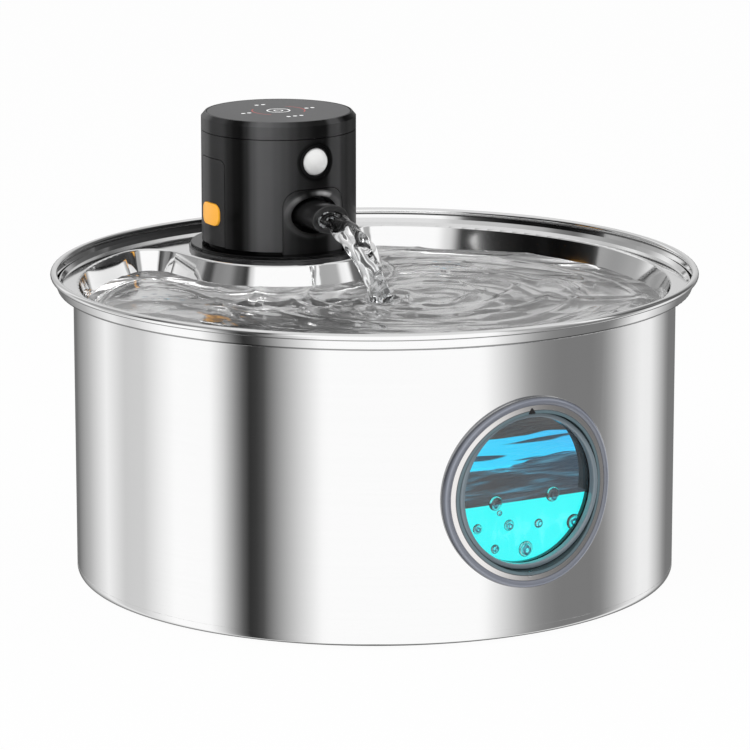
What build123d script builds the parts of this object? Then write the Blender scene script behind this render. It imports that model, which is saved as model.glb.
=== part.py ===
from build123d import *
import os
from math import cos, radians, sin, sqrt, tan

# Pet water fountain: a round steel bowl with a level window, a drinking tray that drops into
# its rim, and a battery-powered pump unit that stands on the tray's plateau.
# Millimetres, +Z up. The origin is on the bowl's axis, on the surface that the pads stand on.
# The window and the spout face -Y, and the pump unit stands towards +Y.

# ---------------------------------------------------------------- driving dimensions

# Clearances
running_clearance = 0.05      # the rotor on its shaft
slip_clearance = 0.3          # pieces that lift apart by hand
seam_gap = 0.35               # joint lines between the head's moulded panels
assembly_clearance = 0.15     # pieces pressed or screwed together once

# Bowl
pad_height = 1.2
pad_radius = 9.0
pad_inset = 30.0              # from the bowl's wall in to each pad's centre
pad_count = 4
bowl_radius = 130.0
bowl_wall = 0.8
bowl_base_rounding = 3.4
shoulder_bottom = 127.0       # underside of the step that carries the tray
shoulder_step = 6.6           # from the wall out to the step's edge
shoulder_rounding = 0.9
lip_flare = 1.7               # from the step's edge out to the rolled bead's centre
lip_rise = 6.1                # from the step up to the rolled bead's centre
bead_radius = 1.5

# Tray
tray_wall = 0.8
tray_edge_gap = 1.8           # between the tray and the step's edge
tray_lip_rise = 2.2
tray_lip_reach = 1.3
pool_gap = 0.5                # between the pool's wall and the bowl's
pool_depth = 20.0
pool_draft = 20.0
pool_floor_rounding = 5.0
pool_edge_rounding = 1.2
plateau_rim = 3.1             # plateau left round the seal
plateau_flare = 6.4           # degrees that each side of the plateau turns out towards the back
plateau_corner = 14.0
pump_hole_gap = 0.4
return_hole_radius = 1.5
return_hole_pitch = 6.0
return_hole_rows = 3
return_hole_side = 28.5       # beside the plateau
return_hole_front = 24.3      # in front of the pump unit's axis

# Window
window_height = 62.8
window_clear_radius = 30.9
window_step_width = 2.4       # ledge that the pane rests on
window_step_thickness = 2.0
window_neck_wall = 1.3
window_neck_length = 17.5     # from the bowl's wall inward
window_flange_width = 4.0     # outside the neck
window_flange_thickness = 1.2
window_gasket_foot = 1.0      # under the flange
window_gasket_lip = 0.7       # over the flange
window_gasket_rim = 1.6       # outside the flange
window_gasket_cover = 2.4     # of the flange's width
pane_thickness = 2.0
pane_setback = 2.34           # behind the flange's face at the mouth's sides
retaining_ring_thickness = 1.2
retaining_ring_rounding = 0.3
window_nut_width = 5.4        # outside the neck
window_nut_height = 7.0
window_nut_notches = 12
window_nut_notch_radius = 2.4
saddle_washer_width = 4.4     # outside the neck
saddle_washer_edge = 1.17     # thickness at its thinnest, on the window's sides

# Pump unit, shared
unit_inset = 3.3              # from the bowl's wall in to the seal
unit_radius = 34.6
unit_wall = 1.8
seal_reveal = 0.7             # outside the flange
seal_height = 1.6
seal_rounding = 0.4
flange_width = 5.1            # outside the head
flange_thickness = 1.4
flange_rounding = 0.5
flange_gap = 1.1              # shadow gap between the flange and the head

# Base of the pump unit
deck_height = 4.0
neck_setback = 4.0            # inside the head's outer face
neck_wall = 2.0
neck_depth = 16.6             # below the plateau
bayonet_count = 3
bayonet_first_angle = 90.0
bayonet_slot_height = 3.2
bayonet_slot_drop = 10.0
bayonet_slot_angle = 34.0
bayonet_entry_angle = 8.0
bayonet_slack_angle = 1.5
bayonet_lug_angle = 6.0
bayonet_lug_height = 2.4
catch_depth = 12.0            # inner face of each latch catch, inside the head's outer face
catch_thickness = 1.8
catch_width = 10.0
catch_web = 1.7
tower_radius = 5.0
tower_bore = 2.0
tower_inset = 8.6             # from the neck's bore in to the tower's axis
tower_gap = 1.4               # under the head's chassis
contact_spacing = 5.2
contact_radius = 1.6
contact_thickness = 1.0

# Spout
spout_rise = 16.0             # above the head's lower edge
spout_overhang = 12.9         # of the mouth, outside the head
spout_width = 18.0
spout_tall = 12.7
spout_wall = 2.6
spout_mouth_rounding = 0.6
spout_collar_wall = 2.25
spout_collar_gap = 0.2        # behind the pocket's floor
pocket_side = 2.6             # room beside the nozzle
pocket_crown = 1.95           # room above and below the nozzle
pocket_wall = 1.6
pocket_floor = 1.8
pocket_depth = 9.6
hatch_half_angle = 25.3
hatch_crown = 11.4            # above the spout's axis
hatch_corner = 7.5
pipe_radius = 5.0
pipe_bore = 3.6
pipe_bend = 6.5
pipe_stop = 1.0               # shoulder under the pipe's foot
pipe_end_depth = 13.6         # forward end of the pipe, inside the head's outer face
pipe_grip = 4.4               # length of the pipe inside the spout's collar

# Pump
pump_inset = 11.4             # the pump is this much smaller in radius than the basket
pump_room = 0.5               # between the pump and the basket
pump_gap = 1.7                # between the pump's screws and the filter below
pump_wall = 1.3
riser_overlap = 0.95          # where the riser's socket joins the pump's side
chamber_wall = 2.7
chamber_roof = 4.0
rotor_gap = 0.5
rotor_length = 23.5
rotor_end_gap = 2.0
well_wall = 1.2
well_roof = 3.4
motor_headroom = 2.6
motor_cap_thickness = 2.4
motor_cap_rim = 1.4
motor_cap_plug = 2.0
stator_height = 18.0
stator_ring = 1.8
stator_teeth = 6
tooth_width = 3.0
tooth_gap = 0.2
winding_room = 3.95           # from the teeth's tips out to the ring
winding_build = 1.7           # on each side of a tooth
winding_overhang = 1.8
winding_depth = 2.4
winding_gap = 0.2
shaft_radius = 1.25
bush_radius = 2.6
bush_length = 2.0
impeller_clearance = 2.0      # below and above the impeller
impeller_gap = 1.2            # round the impeller
impeller_disc = 1.4
impeller_height = 6.0
impeller_hub_radius = 3.0
blade_count = 6
blade_thickness = 1.1
inlet_radius = 7.0
spider_hub_radius = 3.8
spider_arm = 1.4
spider_arms = 3
cover_thickness = 2.0
cover_boss_height = 1.4
channel_width = 6.0
channel_height = 5.0
channel_floor = 2.0
socket_wall = 1.4
socket_depth = 10.0
volute_screw_radius = 0.9
volute_screw_head_radius = 1.4
volute_screw_head = 1.1
volute_screw_length = 6.0
volute_screw_count = 3
lead_radius = 1.6

# Filter
basket_wall = 1.6
basket_floor_gap = 12.0       # above the bowl's floor
basket_drop = 4.6             # below the plateau
basket_rounding = 1.2
basket_slot_count = 18
basket_slot_width = 3.0
basket_slot_height = 17.0
basket_slot_rise = 1.6
floor_slot_count = 8
floor_slot_inset = 12.7       # from the basket's wall in to each slot's middle
floor_slot_length = 13.0
foam_gap = 0.3
foam_height = 10.0
foam_rounding = 0.8
cartridge_height = 9.6
cartridge_rim = 1.6
cartridge_recess = 2.0
cartridge_ribs = 8
cartridge_hub_radius = 4.0

# Control head
head_height = 50.0            # up to the lid
lid_height = 7.7
chamfer_height = 2.0
chamfer_width = 1.7
touch_margin = 2.5
touch_thickness = 1.2
touch_edge = 0.2
lid_plate = 1.6
spigot_depth = 1.65
spigot_wall = 2.2
ledge_height = 0.9
ledge_reach = 1.8
head_ribs = 4
head_rib_height = 8.0
head_rib_width = 3.0
head_rib_depth = 2.6
seal_section = 0.5            # radius of both O-rings' section
seal_groove = 1.1
touch_board_gap = 2.45        # inside the lid's spigot
board_thickness = 1.4
lamp_width = 2.2
lamp_depth = 1.0
lamp_height = 0.6
lamp_spacing = 4.2
lamp_front = 16.0
chassis_drop = 21.3           # below the lid
chassis_plate = 2.0
corner_count = 4
corner_first_angle = 45.0
pillar_radius = 3.2
pillar_height = 4.6
boss_radius = 3.0
boss_inset = 4.0              # from the head's inner face to each boss's centre
boss_web = 4.0
boss_height = 9.6
chassis_screw_radius = 1.4
chassis_screw_head_radius = 2.7
chassis_screw_head = 1.6
chassis_screw_length = 10.0
battery_width = 38.0
battery_height = 9.0
battery_rounding = 1.5
board_gap = 0.9               # behind the sensor's bezel
board_drop = 5.5              # below the lid
board_tongue_width = 12.0
board_tongue_gap = 2.8        # inside the head's inner face
post_radius = 1.9
post_x = 10.5
post_inset = 2.36             # from the board's rim in to each post's axis
post_gap = 1.1                # beside the battery
board_screw_radius = 0.9
board_screw_head_radius = 1.7
board_screw_head = 1.2
board_screw_length = 5.0
port_width = 9.0
port_tall = 3.2
port_length = 9.0
port_wall = 0.35
port_depth = 3.0              # port's mouth, inside the head's outer face
port_opening_width = 10.4
port_opening_tall = 4.6
plug_width = 14.0
plug_tall = 7.4
plug_thickness = 1.1
plug_corner = 2.4
plug_insert_width = 7.4
plug_insert_tall = 1.8
plug_insert_length = 3.4
pir_drop = 10.3               # sensor's axis below the lid
pir_rim = 1.7                 # hole round the lens
pir_bezel_depth = 12.2
pir_bezel_proud = 0.15
pir_bezel_wall = 0.65
pir_lens_radius = 6.1
pir_lens_rise = 3.4
pir_lens_wall = 0.9
pir_lens_depth = 2.0
pir_flange = 1.0
pir_sensor_radius = 4.6
pir_sensor_height = 4.2
pir_board_thickness = 1.2
pin_radius = 0.9
pin_gap = 0.1

# Side latches
latch_half_angle = 17.4
latch_foot_gap = 0.4
latch_height = 38.8
latch_corner = 3.0
latch_tab_angle = 5.0
latch_tab_thickness = 1.2
latch_tab_rise = 3.9          # above the latch panel's foot
latch_tab_gap = 1.9           # below the head's chassis
button_width = 14.5
button_tall = 9.7
button_corner = 3.6
button_rise = 13.7            # button's axis above the latch panel's foot
button_proud = 0.7
button_depth = 3.6            # button's back, inside the head's outer face
button_rounding = 0.4
sleeve_wall = 1.5
sleeve_depth = 9.0            # sleeve's back, inside the head's outer face
sleeve_floor = 1.2
stem_thin_width = 2.4         # where it crosses an open catch
stem_thin_tall = 4.4
stem_thick_width = 6.0        # where it locks in the catch
stem_thick_tall = 4.8
stem_thick_overlap = 0.2
spring_coil_radius = 4.0
spring_wire = 0.3
spring_turns = 3.5

# ---------------------------------------------------------------- derived places

# Pump unit, radii from its axis
head_inner = unit_radius - unit_wall
head_fit = head_inner - assembly_clearance
deck_radius = head_inner - slip_clearance
flange_radius = unit_radius + flange_width
seal_radius = flange_radius + seal_reveal
neck_radius = unit_radius - neck_setback
neck_inner = neck_radius - neck_wall
basket_radius = neck_inner - slip_clearance
basket_inner = basket_radius - basket_wall
foam_radius = basket_inner - foam_gap
touch_radius = unit_radius - touch_margin
boss_circle = head_inner - boss_inset
floor_slot_circle = basket_inner - floor_slot_inset

# Bowl and tray
unit_offset = bowl_radius - unit_inset - seal_radius
pad_circle = bowl_radius - pad_inset
shoulder_radius = bowl_radius + shoulder_step
lip_radius = shoulder_radius + lip_flare
lip_height = shoulder_bottom + lip_rise
tray_radius = shoulder_radius - tray_edge_gap
tray_seat = shoulder_bottom + bowl_wall
tray_top = tray_seat + tray_wall
pool_radius = bowl_radius - bowl_wall - tray_wall - pool_gap
plateau_radius = seal_radius + plateau_rim
pump_hole_radius = neck_radius + pump_hole_gap
return_hole_x = plateau_radius + return_hole_side
return_hole_y = unit_offset - return_hole_front

# Window, radii from its axis and distances from the bowl's axis
window_mouth_radius = window_clear_radius + window_step_width
window_neck_radius = window_mouth_radius + window_neck_wall
window_flange_radius = window_neck_radius + window_flange_width
window_gasket_radius = window_flange_radius + window_gasket_rim
window_gasket_lip_radius = window_flange_radius - window_gasket_cover
window_nut_radius = window_neck_radius + window_nut_width
saddle_washer_radius = window_neck_radius + saddle_washer_width
flange_seat = bowl_radius + window_gasket_foot
flange_face = flange_seat + window_flange_thickness
gasket_top = flange_face + window_gasket_lip
pane_plane = sqrt(flange_face ** 2 - window_mouth_radius ** 2) - pane_setback
inner_wall = bowl_radius - bowl_wall
window_nut_face = sqrt(inner_wall ** 2 - saddle_washer_radius ** 2) - saddle_washer_edge
window_neck_end = bowl_radius - window_neck_length

# Pump unit, heights
flange_bottom = tray_top + seal_height
flange_top = flange_bottom + flange_thickness
head_bottom = flange_top + flange_gap
deck_top = flange_bottom + deck_height
head_parting = head_bottom + head_height
head_top = head_parting + lid_height
chassis_bottom = head_parting - chassis_drop
pillar_top = chassis_bottom + pillar_height
boss_top = pillar_top + boss_height
board_height = head_parting - board_drop
pir_height = head_parting - pir_drop
tower_top = chassis_bottom - tower_gap - contact_thickness
spout_height = head_bottom + spout_rise
hatch_top = spout_height + hatch_crown
latch_bottom = head_bottom + latch_foot_gap
latch_top = latch_bottom + latch_height
latch_tab_bottom = latch_bottom + latch_tab_rise
latch_tab_top = chassis_bottom - latch_tab_gap
button_height = latch_bottom + button_rise

# Pieces that reach in or out from the head's outer face
catch_radius = unit_radius - catch_depth
sleeve_inner = unit_radius - sleeve_depth
button_inner = unit_radius - button_depth
spout_reach = unit_radius + spout_overhang
pocket_width = spout_width + 2 * pocket_side
pocket_tall = spout_tall + 2 * pocket_crown
pocket_face = unit_radius - pocket_depth
pocket_back = pocket_face - pocket_floor
pipe_fit = pipe_radius + assembly_clearance
pipe_end = unit_radius - pipe_end_depth
spout_collar_radius = pipe_fit + spout_collar_wall
spout_collar_back = pipe_end - pipe_grip
port_outer = unit_radius - port_depth
pir_hole_radius = pir_lens_radius + pir_rim
pir_bezel_back = unit_radius - pir_bezel_depth
pir_lens_seat = unit_radius - pir_lens_depth
board_radius = pir_bezel_back - board_gap
board_tongue_reach = head_inner - board_tongue_gap
post_y = sqrt((board_radius - post_inset) ** 2 - post_x ** 2)
battery_depth = 2 * (post_y - post_radius - post_gap)

# Filter and pump
basket_bottom = pad_height + bowl_wall + basket_floor_gap
basket_floor = basket_bottom + basket_wall
basket_top = tray_top - basket_drop
cover_bottom = basket_floor + foam_height + cartridge_height + pump_gap + volute_screw_head
pump_bottom = cover_bottom + cover_thickness
pump_radius = basket_inner - pump_inset
chamber_radius = pump_radius - chamber_wall
chamber_height = impeller_height + 2 * impeller_clearance
impeller_radius = chamber_radius - impeller_gap
impeller_bottom = pump_bottom + impeller_clearance
rotor_bottom = pump_bottom + chamber_height + rotor_gap
well_top = rotor_bottom + rotor_length + rotor_end_gap
roof_top = well_top + well_roof
motor_top = roof_top + motor_headroom
stator_pocket_radius = pump_radius - pump_wall
stator_pocket_bottom = pump_bottom + chamber_height + chamber_roof
stator_bottom = stator_pocket_bottom + winding_overhang + winding_gap
stator_radius = stator_pocket_radius - assembly_clearance
tooth_tip = stator_radius - stator_ring - winding_room
well_outer = tooth_tip - tooth_gap
well_radius = well_outer - well_wall
rotor_radius = well_radius - rotor_gap
winding_circle = stator_radius - stator_ring - winding_room / 2
winding_width = tooth_width + 2 * winding_build
volute_screw_circle = (chamber_radius + pump_radius) / 2
socket_radius = pipe_fit + socket_wall
pump_back = basket_inner - pump_room - pump_radius
riser_reach = pump_radius + socket_radius - riser_overlap - pump_back
tower_back = neck_inner - tower_inset
pump_y = unit_offset + pump_back
riser_y = unit_offset - riser_reach
lead_y = unit_offset + tower_back
channel_bottom = pump_bottom + channel_floor
pipe_foot = channel_bottom + channel_height + pipe_stop

unit_axis = Axis((0, unit_offset, 0), (0, 0, 1))
standing = (Align.CENTER, Align.CENTER, Align.MIN)

os.makedirs("parts", exist_ok=True)


# ---------------------------------------------------------------- helpers

def finish(builder, name):
    """Name the finished piece and write it."""
    builder.part.label = name
    export_step(builder.part, f"parts/{name}.step")


def unit_plane(height):
    """Horizontal plane on the pump unit's axis."""
    return Plane((0, unit_offset, height))


def pump_plane(height):
    """Horizontal plane on the pump's axis."""
    return Plane((0, pump_y, height))


def riser_plane(height):
    """Horizontal plane on the riser's axis."""
    return Plane((0, riser_y, height))


def front_plane(distance, height, origin_y=0.0):
    """Upright plane whose normal is -Y, a distance in front of an axis, with x to the right."""
    return Plane(origin=(0, origin_y - distance, height), x_dir=(1, 0, 0), z_dir=(0, -1, 0))


def unit_front(distance, height):
    """Upright plane that looks along -Y from the unit's axis."""
    return front_plane(distance, height, unit_offset)


def unit_back(distance, height):
    """Upright plane that looks along +Y from the unit's axis."""
    return Plane(origin=(0, unit_offset + distance, height), x_dir=(-1, 0, 0), z_dir=(0, 1, 0))


def unit_side(distance, height, side):
    """Upright plane that looks away from the unit's axis along X, to one side."""
    return Plane(origin=(side * distance, unit_offset, height), x_dir=(0, side, 0), z_dir=(side, 0, 0))


def arc_plane(angle):
    """Upright plane through the unit's axis, with x outward at an angle from +X and y up."""
    turn = radians(angle)
    outward = (cos(turn), sin(turn), 0)
    return Plane(origin=(0, unit_offset, 0), x_dir=outward, z_dir=(sin(turn), -cos(turn), 0))


def rod(plane, radius, length):
    """Round bar as a separate solid, standing on a plane along its normal."""
    return plane.location * Cylinder(radius, length, align=standing, mode=Mode.PRIVATE)


def tube(plane, outer, inner, length):
    """Round tube as a separate solid, standing on a plane along its normal."""
    bar = Cylinder(outer, length, align=standing, mode=Mode.PRIVATE)
    bore = Cylinder(inner, length, align=standing, mode=Mode.PRIVATE)
    return plane.location * (bar - bore)


def bowl_layer(outer, inner):
    """Upright tube about the bowl's axis, as tall as the window needs."""
    return tube(Plane.XY, outer, inner, 2 * window_height)


def unit_layer(outer, inner):
    """Upright tube about the unit's axis, from the flange to above the head."""
    return tube(unit_plane(flange_bottom), outer, inner, head_top - flange_bottom)


def pool_block(grow, depth):
    """Block that fills the pool from the tray's top face down, with its size grown all round."""
    front = plateau_radius - grow
    back = bowl_radius + bowl_wall
    turn = radians(plateau_flare)
    near = (front * cos(turn), unit_offset - front * sin(turn))
    far = (near[0] + (back - near[1]) * tan(turn), back)
    with BuildPart() as block:
        with BuildSketch(Plane.XY.offset(tray_top)) as outline:
            Circle(pool_radius + grow)
            with BuildLine():
                CenterArc((0, unit_offset), front, 180 + plateau_flare, 180 - 2 * plateau_flare)
                Polyline(near, far, (-far[0], far[1]), (-near[0], near[1]))
            make_face(mode=Mode.SUBTRACT)
            corners = outline.vertices().filter_by(lambda v: v.Y > unit_offset + plateau_radius / 4)
            fillet(corners, plateau_corner + grow)
        extrude(amount=-depth, taper=pool_draft)
        fillet(block.edges().group_by(Axis.Z)[0], pool_floor_rounding + grow)
    return block.part


def saddle(outer, inner, low, high):
    """Ring along -Y through the bowl's front wall, cut to lie between two radii of the bowl."""
    length = gasket_top + window_flange_width - window_neck_end
    ring = tube(front_plane(window_neck_end, window_height), outer, inner, length)
    return ring & bowl_layer(high, low)


def arch_block(plane, half_width, foot, top, corner, depth):
    """Block that stands off an upright plane, with its two top corners rounded."""
    with BuildPart() as block:
        with BuildSketch(plane) as outline:
            with Locations((0, (foot + top) / 2)):
                Rectangle(2 * half_width, top - foot)
            fillet(outline.vertices().group_by(Axis.Y)[-1], corner)
        extrude(amount=depth)
    return block.part


def rounded_block(plane, width, tall, corner, depth):
    """Block that stands off an upright plane, with all four corners rounded."""
    with BuildPart() as block:
        with BuildSketch(plane):
            RectangleRounded(width, tall, corner)
        extrude(amount=depth)
    return block.part


# ---------------------------------------------------------------- bowl and pads

# Sheet-metal profile: base, wall, outward step and flared lip, closed by a rolled bead.
with BuildPart() as bowl:
    with BuildSketch(Plane.XZ):
        with BuildLine():
            FilletPolyline(
                (0, pad_height),
                (bowl_radius, pad_height),
                (bowl_radius, shoulder_bottom),
                (shoulder_radius, shoulder_bottom),
                (lip_radius + bead_radius / 2, lip_height),
                radius=[bowl_base_rounding, shoulder_rounding, shoulder_rounding],
            )
            offset(amount=bowl_wall, side=Side.LEFT)
        make_face()
        with Locations((lip_radius, lip_height)):
            Circle(bead_radius)
    revolve(axis=Axis.Z)
    with BuildSketch(front_plane(window_neck_end, window_height)):
        Circle(window_neck_radius + slip_clearance)
    extrude(amount=bowl_radius - window_neck_end + bowl_wall, mode=Mode.SUBTRACT)
finish(bowl, "bowl")

with BuildPart() as anti_slip_pads:
    with BuildSketch():
        with PolarLocations(pad_circle, pad_count, start_angle=180 / pad_count):
            Circle(pad_radius)
    extrude(amount=pad_height)
    pad_rims = anti_slip_pads.edges().filter_by(GeomType.CIRCLE).group_by(Axis.Z)[0]
    chamfer(pad_rims, pad_height / 4)
finish(anti_slip_pads, "anti_slip_pads")

# ---------------------------------------------------------------- tray

pool_pan = pool_block(tray_wall, pool_depth + tray_wall)
pool_room = pool_block(0, pool_depth)
with BuildPart() as tray:
    with BuildSketch(Plane.XZ):
        with BuildLine():
            FilletPolyline(
                (0, tray_seat),
                (tray_radius, tray_seat),
                (tray_radius + tray_lip_reach, tray_seat + tray_lip_rise),
                radius=shoulder_rounding,
            )
            offset(amount=tray_wall, side=Side.LEFT)
        make_face()
    revolve(axis=Axis.Z)
    add(pool_pan)
    add(pool_room, mode=Mode.SUBTRACT)
    at_top = tray.edges().filter_by_position(Axis.Z, tray_top, tray_top)
    pool_rim = at_top.filter_by(lambda e: e.bounding_box().max.X < pool_radius + tray_wall)
    fillet(pool_rim, pool_edge_rounding)
    with BuildSketch(unit_plane(tray_seat)):
        Circle(pump_hole_radius)
    extrude(amount=tray_wall, mode=Mode.SUBTRACT)
    with BuildSketch(Plane.XY.offset(tray_top - pool_depth - tray_wall)):
        with Locations((return_hole_x, return_hole_y), (-return_hole_x, return_hole_y)):
            with HexLocations(return_hole_pitch / 2, return_hole_rows, return_hole_rows):
                Circle(return_hole_radius)
    extrude(amount=tray_wall, mode=Mode.SUBTRACT)
finish(tray, "tray")

# ---------------------------------------------------------------- window

with BuildPart() as window_gasket:
    add(saddle(window_gasket_radius, window_neck_radius + slip_clearance, bowl_radius, gasket_top))
    flange_room = window_flange_radius + assembly_clearance
    add(saddle(flange_room, window_mouth_radius, flange_seat, flange_face), mode=Mode.SUBTRACT)
    lip_room = saddle(window_gasket_lip_radius, window_mouth_radius, flange_seat, 2 * gasket_top)
    add(lip_room, mode=Mode.SUBTRACT)
finish(window_gasket, "window_gasket")

pane_back = pane_plane - pane_thickness
with BuildPart() as window_frame:
    add(saddle(window_flange_radius, window_mouth_radius, flange_seat, flange_face))
    add(saddle(window_neck_radius, window_mouth_radius, window_neck_end / 2, flange_face))
    step_plane = front_plane(pane_back - window_step_thickness, window_height)
    add(tube(step_plane, window_neck_radius, window_clear_radius, window_step_thickness))
finish(window_frame, "window_frame")

with BuildPart() as window_pane:
    with BuildSketch(front_plane(pane_back, window_height)):
        Circle(window_mouth_radius - assembly_clearance)
    extrude(amount=pane_thickness)
finish(window_pane, "window_pane")

with BuildPart() as window_retaining_ring:
    with BuildSketch(front_plane(pane_plane, window_height)):
        Circle(window_mouth_radius - assembly_clearance)
        Circle(window_clear_radius, mode=Mode.SUBTRACT)
    extrude(amount=retaining_ring_thickness)
    fillet(window_retaining_ring.edges().group_by(Axis.Y)[0], retaining_ring_rounding)
finish(window_retaining_ring, "window_retaining_ring")

nut_bore = window_neck_radius + assembly_clearance
with BuildPart() as window_saddle_washer:
    washer_plane = front_plane(window_nut_face, window_height)
    add(tube(washer_plane, saddle_washer_radius, nut_bore, inner_wall - window_nut_face))
    add(bowl_layer(inner_wall, inner_wall / 2), mode=Mode.INTERSECT)
finish(window_saddle_washer, "window_saddle_washer")

with BuildPart() as window_nut:
    with BuildSketch(front_plane(window_nut_face - window_nut_height, window_height)):
        Circle(window_nut_radius)
        Circle(nut_bore, mode=Mode.SUBTRACT)
        with PolarLocations(window_nut_radius, window_nut_notches):
            Circle(window_nut_notch_radius, mode=Mode.SUBTRACT)
    extrude(amount=window_nut_height)
finish(window_nut, "window_nut")

# ---------------------------------------------------------------- base of the pump unit

with BuildPart() as flange_seal:
    add(tube(unit_plane(tray_top), seal_radius, neck_radius + slip_clearance, seal_height))
    seal_top = flange_seal.edges().group_by(Axis.Z)[-1]
    fillet(seal_top.sort_by(SortBy.LENGTH)[-1], seal_rounding)
finish(flange_seal, "flange_seal")

neck_bottom = tray_top - neck_depth
slot_top = neck_bottom + bayonet_slot_drop
slot_middle = slot_top - bayonet_slot_height / 2
bayonet_step = 360 / bayonet_count
catch_top = button_height + stem_thick_tall / 2 + slip_clearance + catch_web
with BuildPart() as pump_base:
    add(rod(unit_plane(flange_bottom), flange_radius, flange_thickness))
    fillet(pump_base.edges().group_by(Axis.Z)[-1], flange_rounding)
    add(rod(unit_plane(flange_bottom), deck_radius, deck_height))
    add(tube(unit_plane(neck_bottom), neck_radius, neck_inner, flange_bottom - neck_bottom))
    # Bayonet slots, each with its way in from below
    for index in range(bayonet_count):
        lug_place = bayonet_first_angle + index * bayonet_step
        slot_start = lug_place - bayonet_lug_angle / 2 - bayonet_slack_angle
        with BuildSketch(arc_plane(slot_start)):
            with Locations((neck_radius, slot_middle)):
                Rectangle(3 * neck_wall, bayonet_slot_height)
        revolve(axis=unit_axis, revolution_arc=bayonet_slot_angle, mode=Mode.SUBTRACT)
        with BuildSketch(arc_plane(slot_start + bayonet_slot_angle - bayonet_entry_angle)):
            with Locations((neck_radius, slot_middle - bayonet_slot_drop / 2)):
                Rectangle(3 * neck_wall, bayonet_slot_drop)
        revolve(axis=unit_axis, revolution_arc=bayonet_entry_angle, mode=Mode.SUBTRACT)
    # Tower that carries the electrical contacts up to the head
    add(rod(Plane((0, lead_y, deck_top)), tower_radius, tower_top - deck_top))
    add(rod(Plane((0, lead_y, flange_bottom)), tower_bore, tower_top - flange_bottom), mode=Mode.SUBTRACT)
    add(rod(riser_plane(flange_bottom), pipe_fit, deck_height), mode=Mode.SUBTRACT)
    # Catches: a window that holds the button's thick stem, and a slit that lets its thin stem out
    for side in (-1, 1):
        with BuildSketch(Plane((side * (catch_radius + catch_thickness / 2), unit_offset, deck_top))):
            Rectangle(catch_thickness, catch_width)
        extrude(amount=catch_top - deck_top)
        with BuildSketch(unit_side(catch_radius, button_height, side)):
            Rectangle(stem_thick_width + 2 * slip_clearance, stem_thick_tall + 2 * slip_clearance)
            with Locations((0, catch_top - button_height)):
                Rectangle(stem_thin_width + 2 * slip_clearance, 2 * (catch_top - button_height))
        extrude(amount=catch_thickness, mode=Mode.SUBTRACT)
finish(pump_base, "pump_base")

with BuildPart() as base_contacts:
    for side in (-1, 1):
        add(rod(Plane((side * contact_spacing / 2, lead_y, tower_top)), contact_radius, contact_thickness))
finish(base_contacts, "base_contacts")

# ---------------------------------------------------------------- pump

socket_top = pipe_foot + socket_depth
screw_depth = volute_screw_length - cover_thickness
with BuildPart() as pump_housing:
    add(rod(pump_plane(pump_bottom), pump_radius, motor_top - pump_bottom))
    add(rod(riser_plane(pump_bottom), socket_radius, socket_top - pump_bottom))
    # Impeller chamber, the rotor's well above it and the upper bush's seat
    add(rod(pump_plane(pump_bottom), chamber_radius, chamber_height), mode=Mode.SUBTRACT)
    add(rod(pump_plane(pump_bottom), well_radius, well_top - pump_bottom), mode=Mode.SUBTRACT)
    add(rod(pump_plane(well_top), bush_radius, bush_length), mode=Mode.SUBTRACT)
    # Dry pocket for the stator round the well
    with BuildSketch(pump_plane(stator_pocket_bottom)):
        Circle(stator_pocket_radius)
        Circle(well_outer, mode=Mode.SUBTRACT)
    extrude(amount=roof_top - stator_pocket_bottom, mode=Mode.SUBTRACT)
    add(rod(pump_plane(roof_top), stator_pocket_radius, motor_top - roof_top), mode=Mode.SUBTRACT)
    # Outlet channel and the riser's socket
    with BuildSketch(Plane((0, (pump_y + riser_y) / 2, channel_bottom))):
        Rectangle(channel_width, pump_y - riser_y)
    extrude(amount=channel_height, mode=Mode.SUBTRACT)
    add(rod(riser_plane(channel_bottom), pipe_bore, pipe_foot - channel_bottom), mode=Mode.SUBTRACT)
    add(rod(riser_plane(pipe_foot), pipe_fit, socket_depth), mode=Mode.SUBTRACT)
    with BuildSketch(pump_plane(pump_bottom)):
        with PolarLocations(volute_screw_circle, volute_screw_count, start_angle=90):
            Circle(volute_screw_radius)
    extrude(amount=screw_depth, mode=Mode.SUBTRACT)
finish(pump_housing, "pump_housing")

with BuildPart() as volute_cover:
    with BuildSketch(Plane.XY.offset(cover_bottom)):
        with Locations((0, pump_y)):
            Circle(pump_radius)
        with Locations((0, riser_y)):
            Circle(socket_radius)
        make_hull()
        with Locations((0, pump_y)):
            Circle(inlet_radius, mode=Mode.SUBTRACT)
            with PolarLocations(0, spider_arms):
                Rectangle(inlet_radius + cover_thickness, spider_arm, align=(Align.MIN, Align.CENTER))
    extrude(amount=cover_thickness)
    add(rod(pump_plane(cover_bottom), spider_hub_radius, cover_thickness + cover_boss_height))
    hub_floor = pump_bottom + cover_boss_height - bush_length
    add(rod(pump_plane(hub_floor), bush_radius, bush_length), mode=Mode.SUBTRACT)
    with BuildSketch(pump_plane(cover_bottom)):
        with PolarLocations(volute_screw_circle, volute_screw_count, start_angle=90):
            Circle(volute_screw_radius)
    extrude(amount=cover_thickness, mode=Mode.SUBTRACT)
finish(volute_cover, "volute_cover")

with BuildPart() as volute_screws:
    with BuildSketch(pump_plane(cover_bottom - volute_screw_head)):
        with PolarLocations(volute_screw_circle, volute_screw_count, start_angle=90):
            Circle(volute_screw_head_radius)
    extrude(amount=volute_screw_head)
    with BuildSketch(pump_plane(cover_bottom)):
        with PolarLocations(volute_screw_circle, volute_screw_count, start_angle=90):
            Circle(volute_screw_radius)
    extrude(amount=volute_screw_length)
finish(volute_screws, "volute_screws")

with BuildPart() as shaft_bushes:
    for seat in (hub_floor, well_top):
        add(tube(pump_plane(seat), bush_radius, shaft_radius, bush_length))
finish(shaft_bushes, "shaft_bushes")

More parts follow.
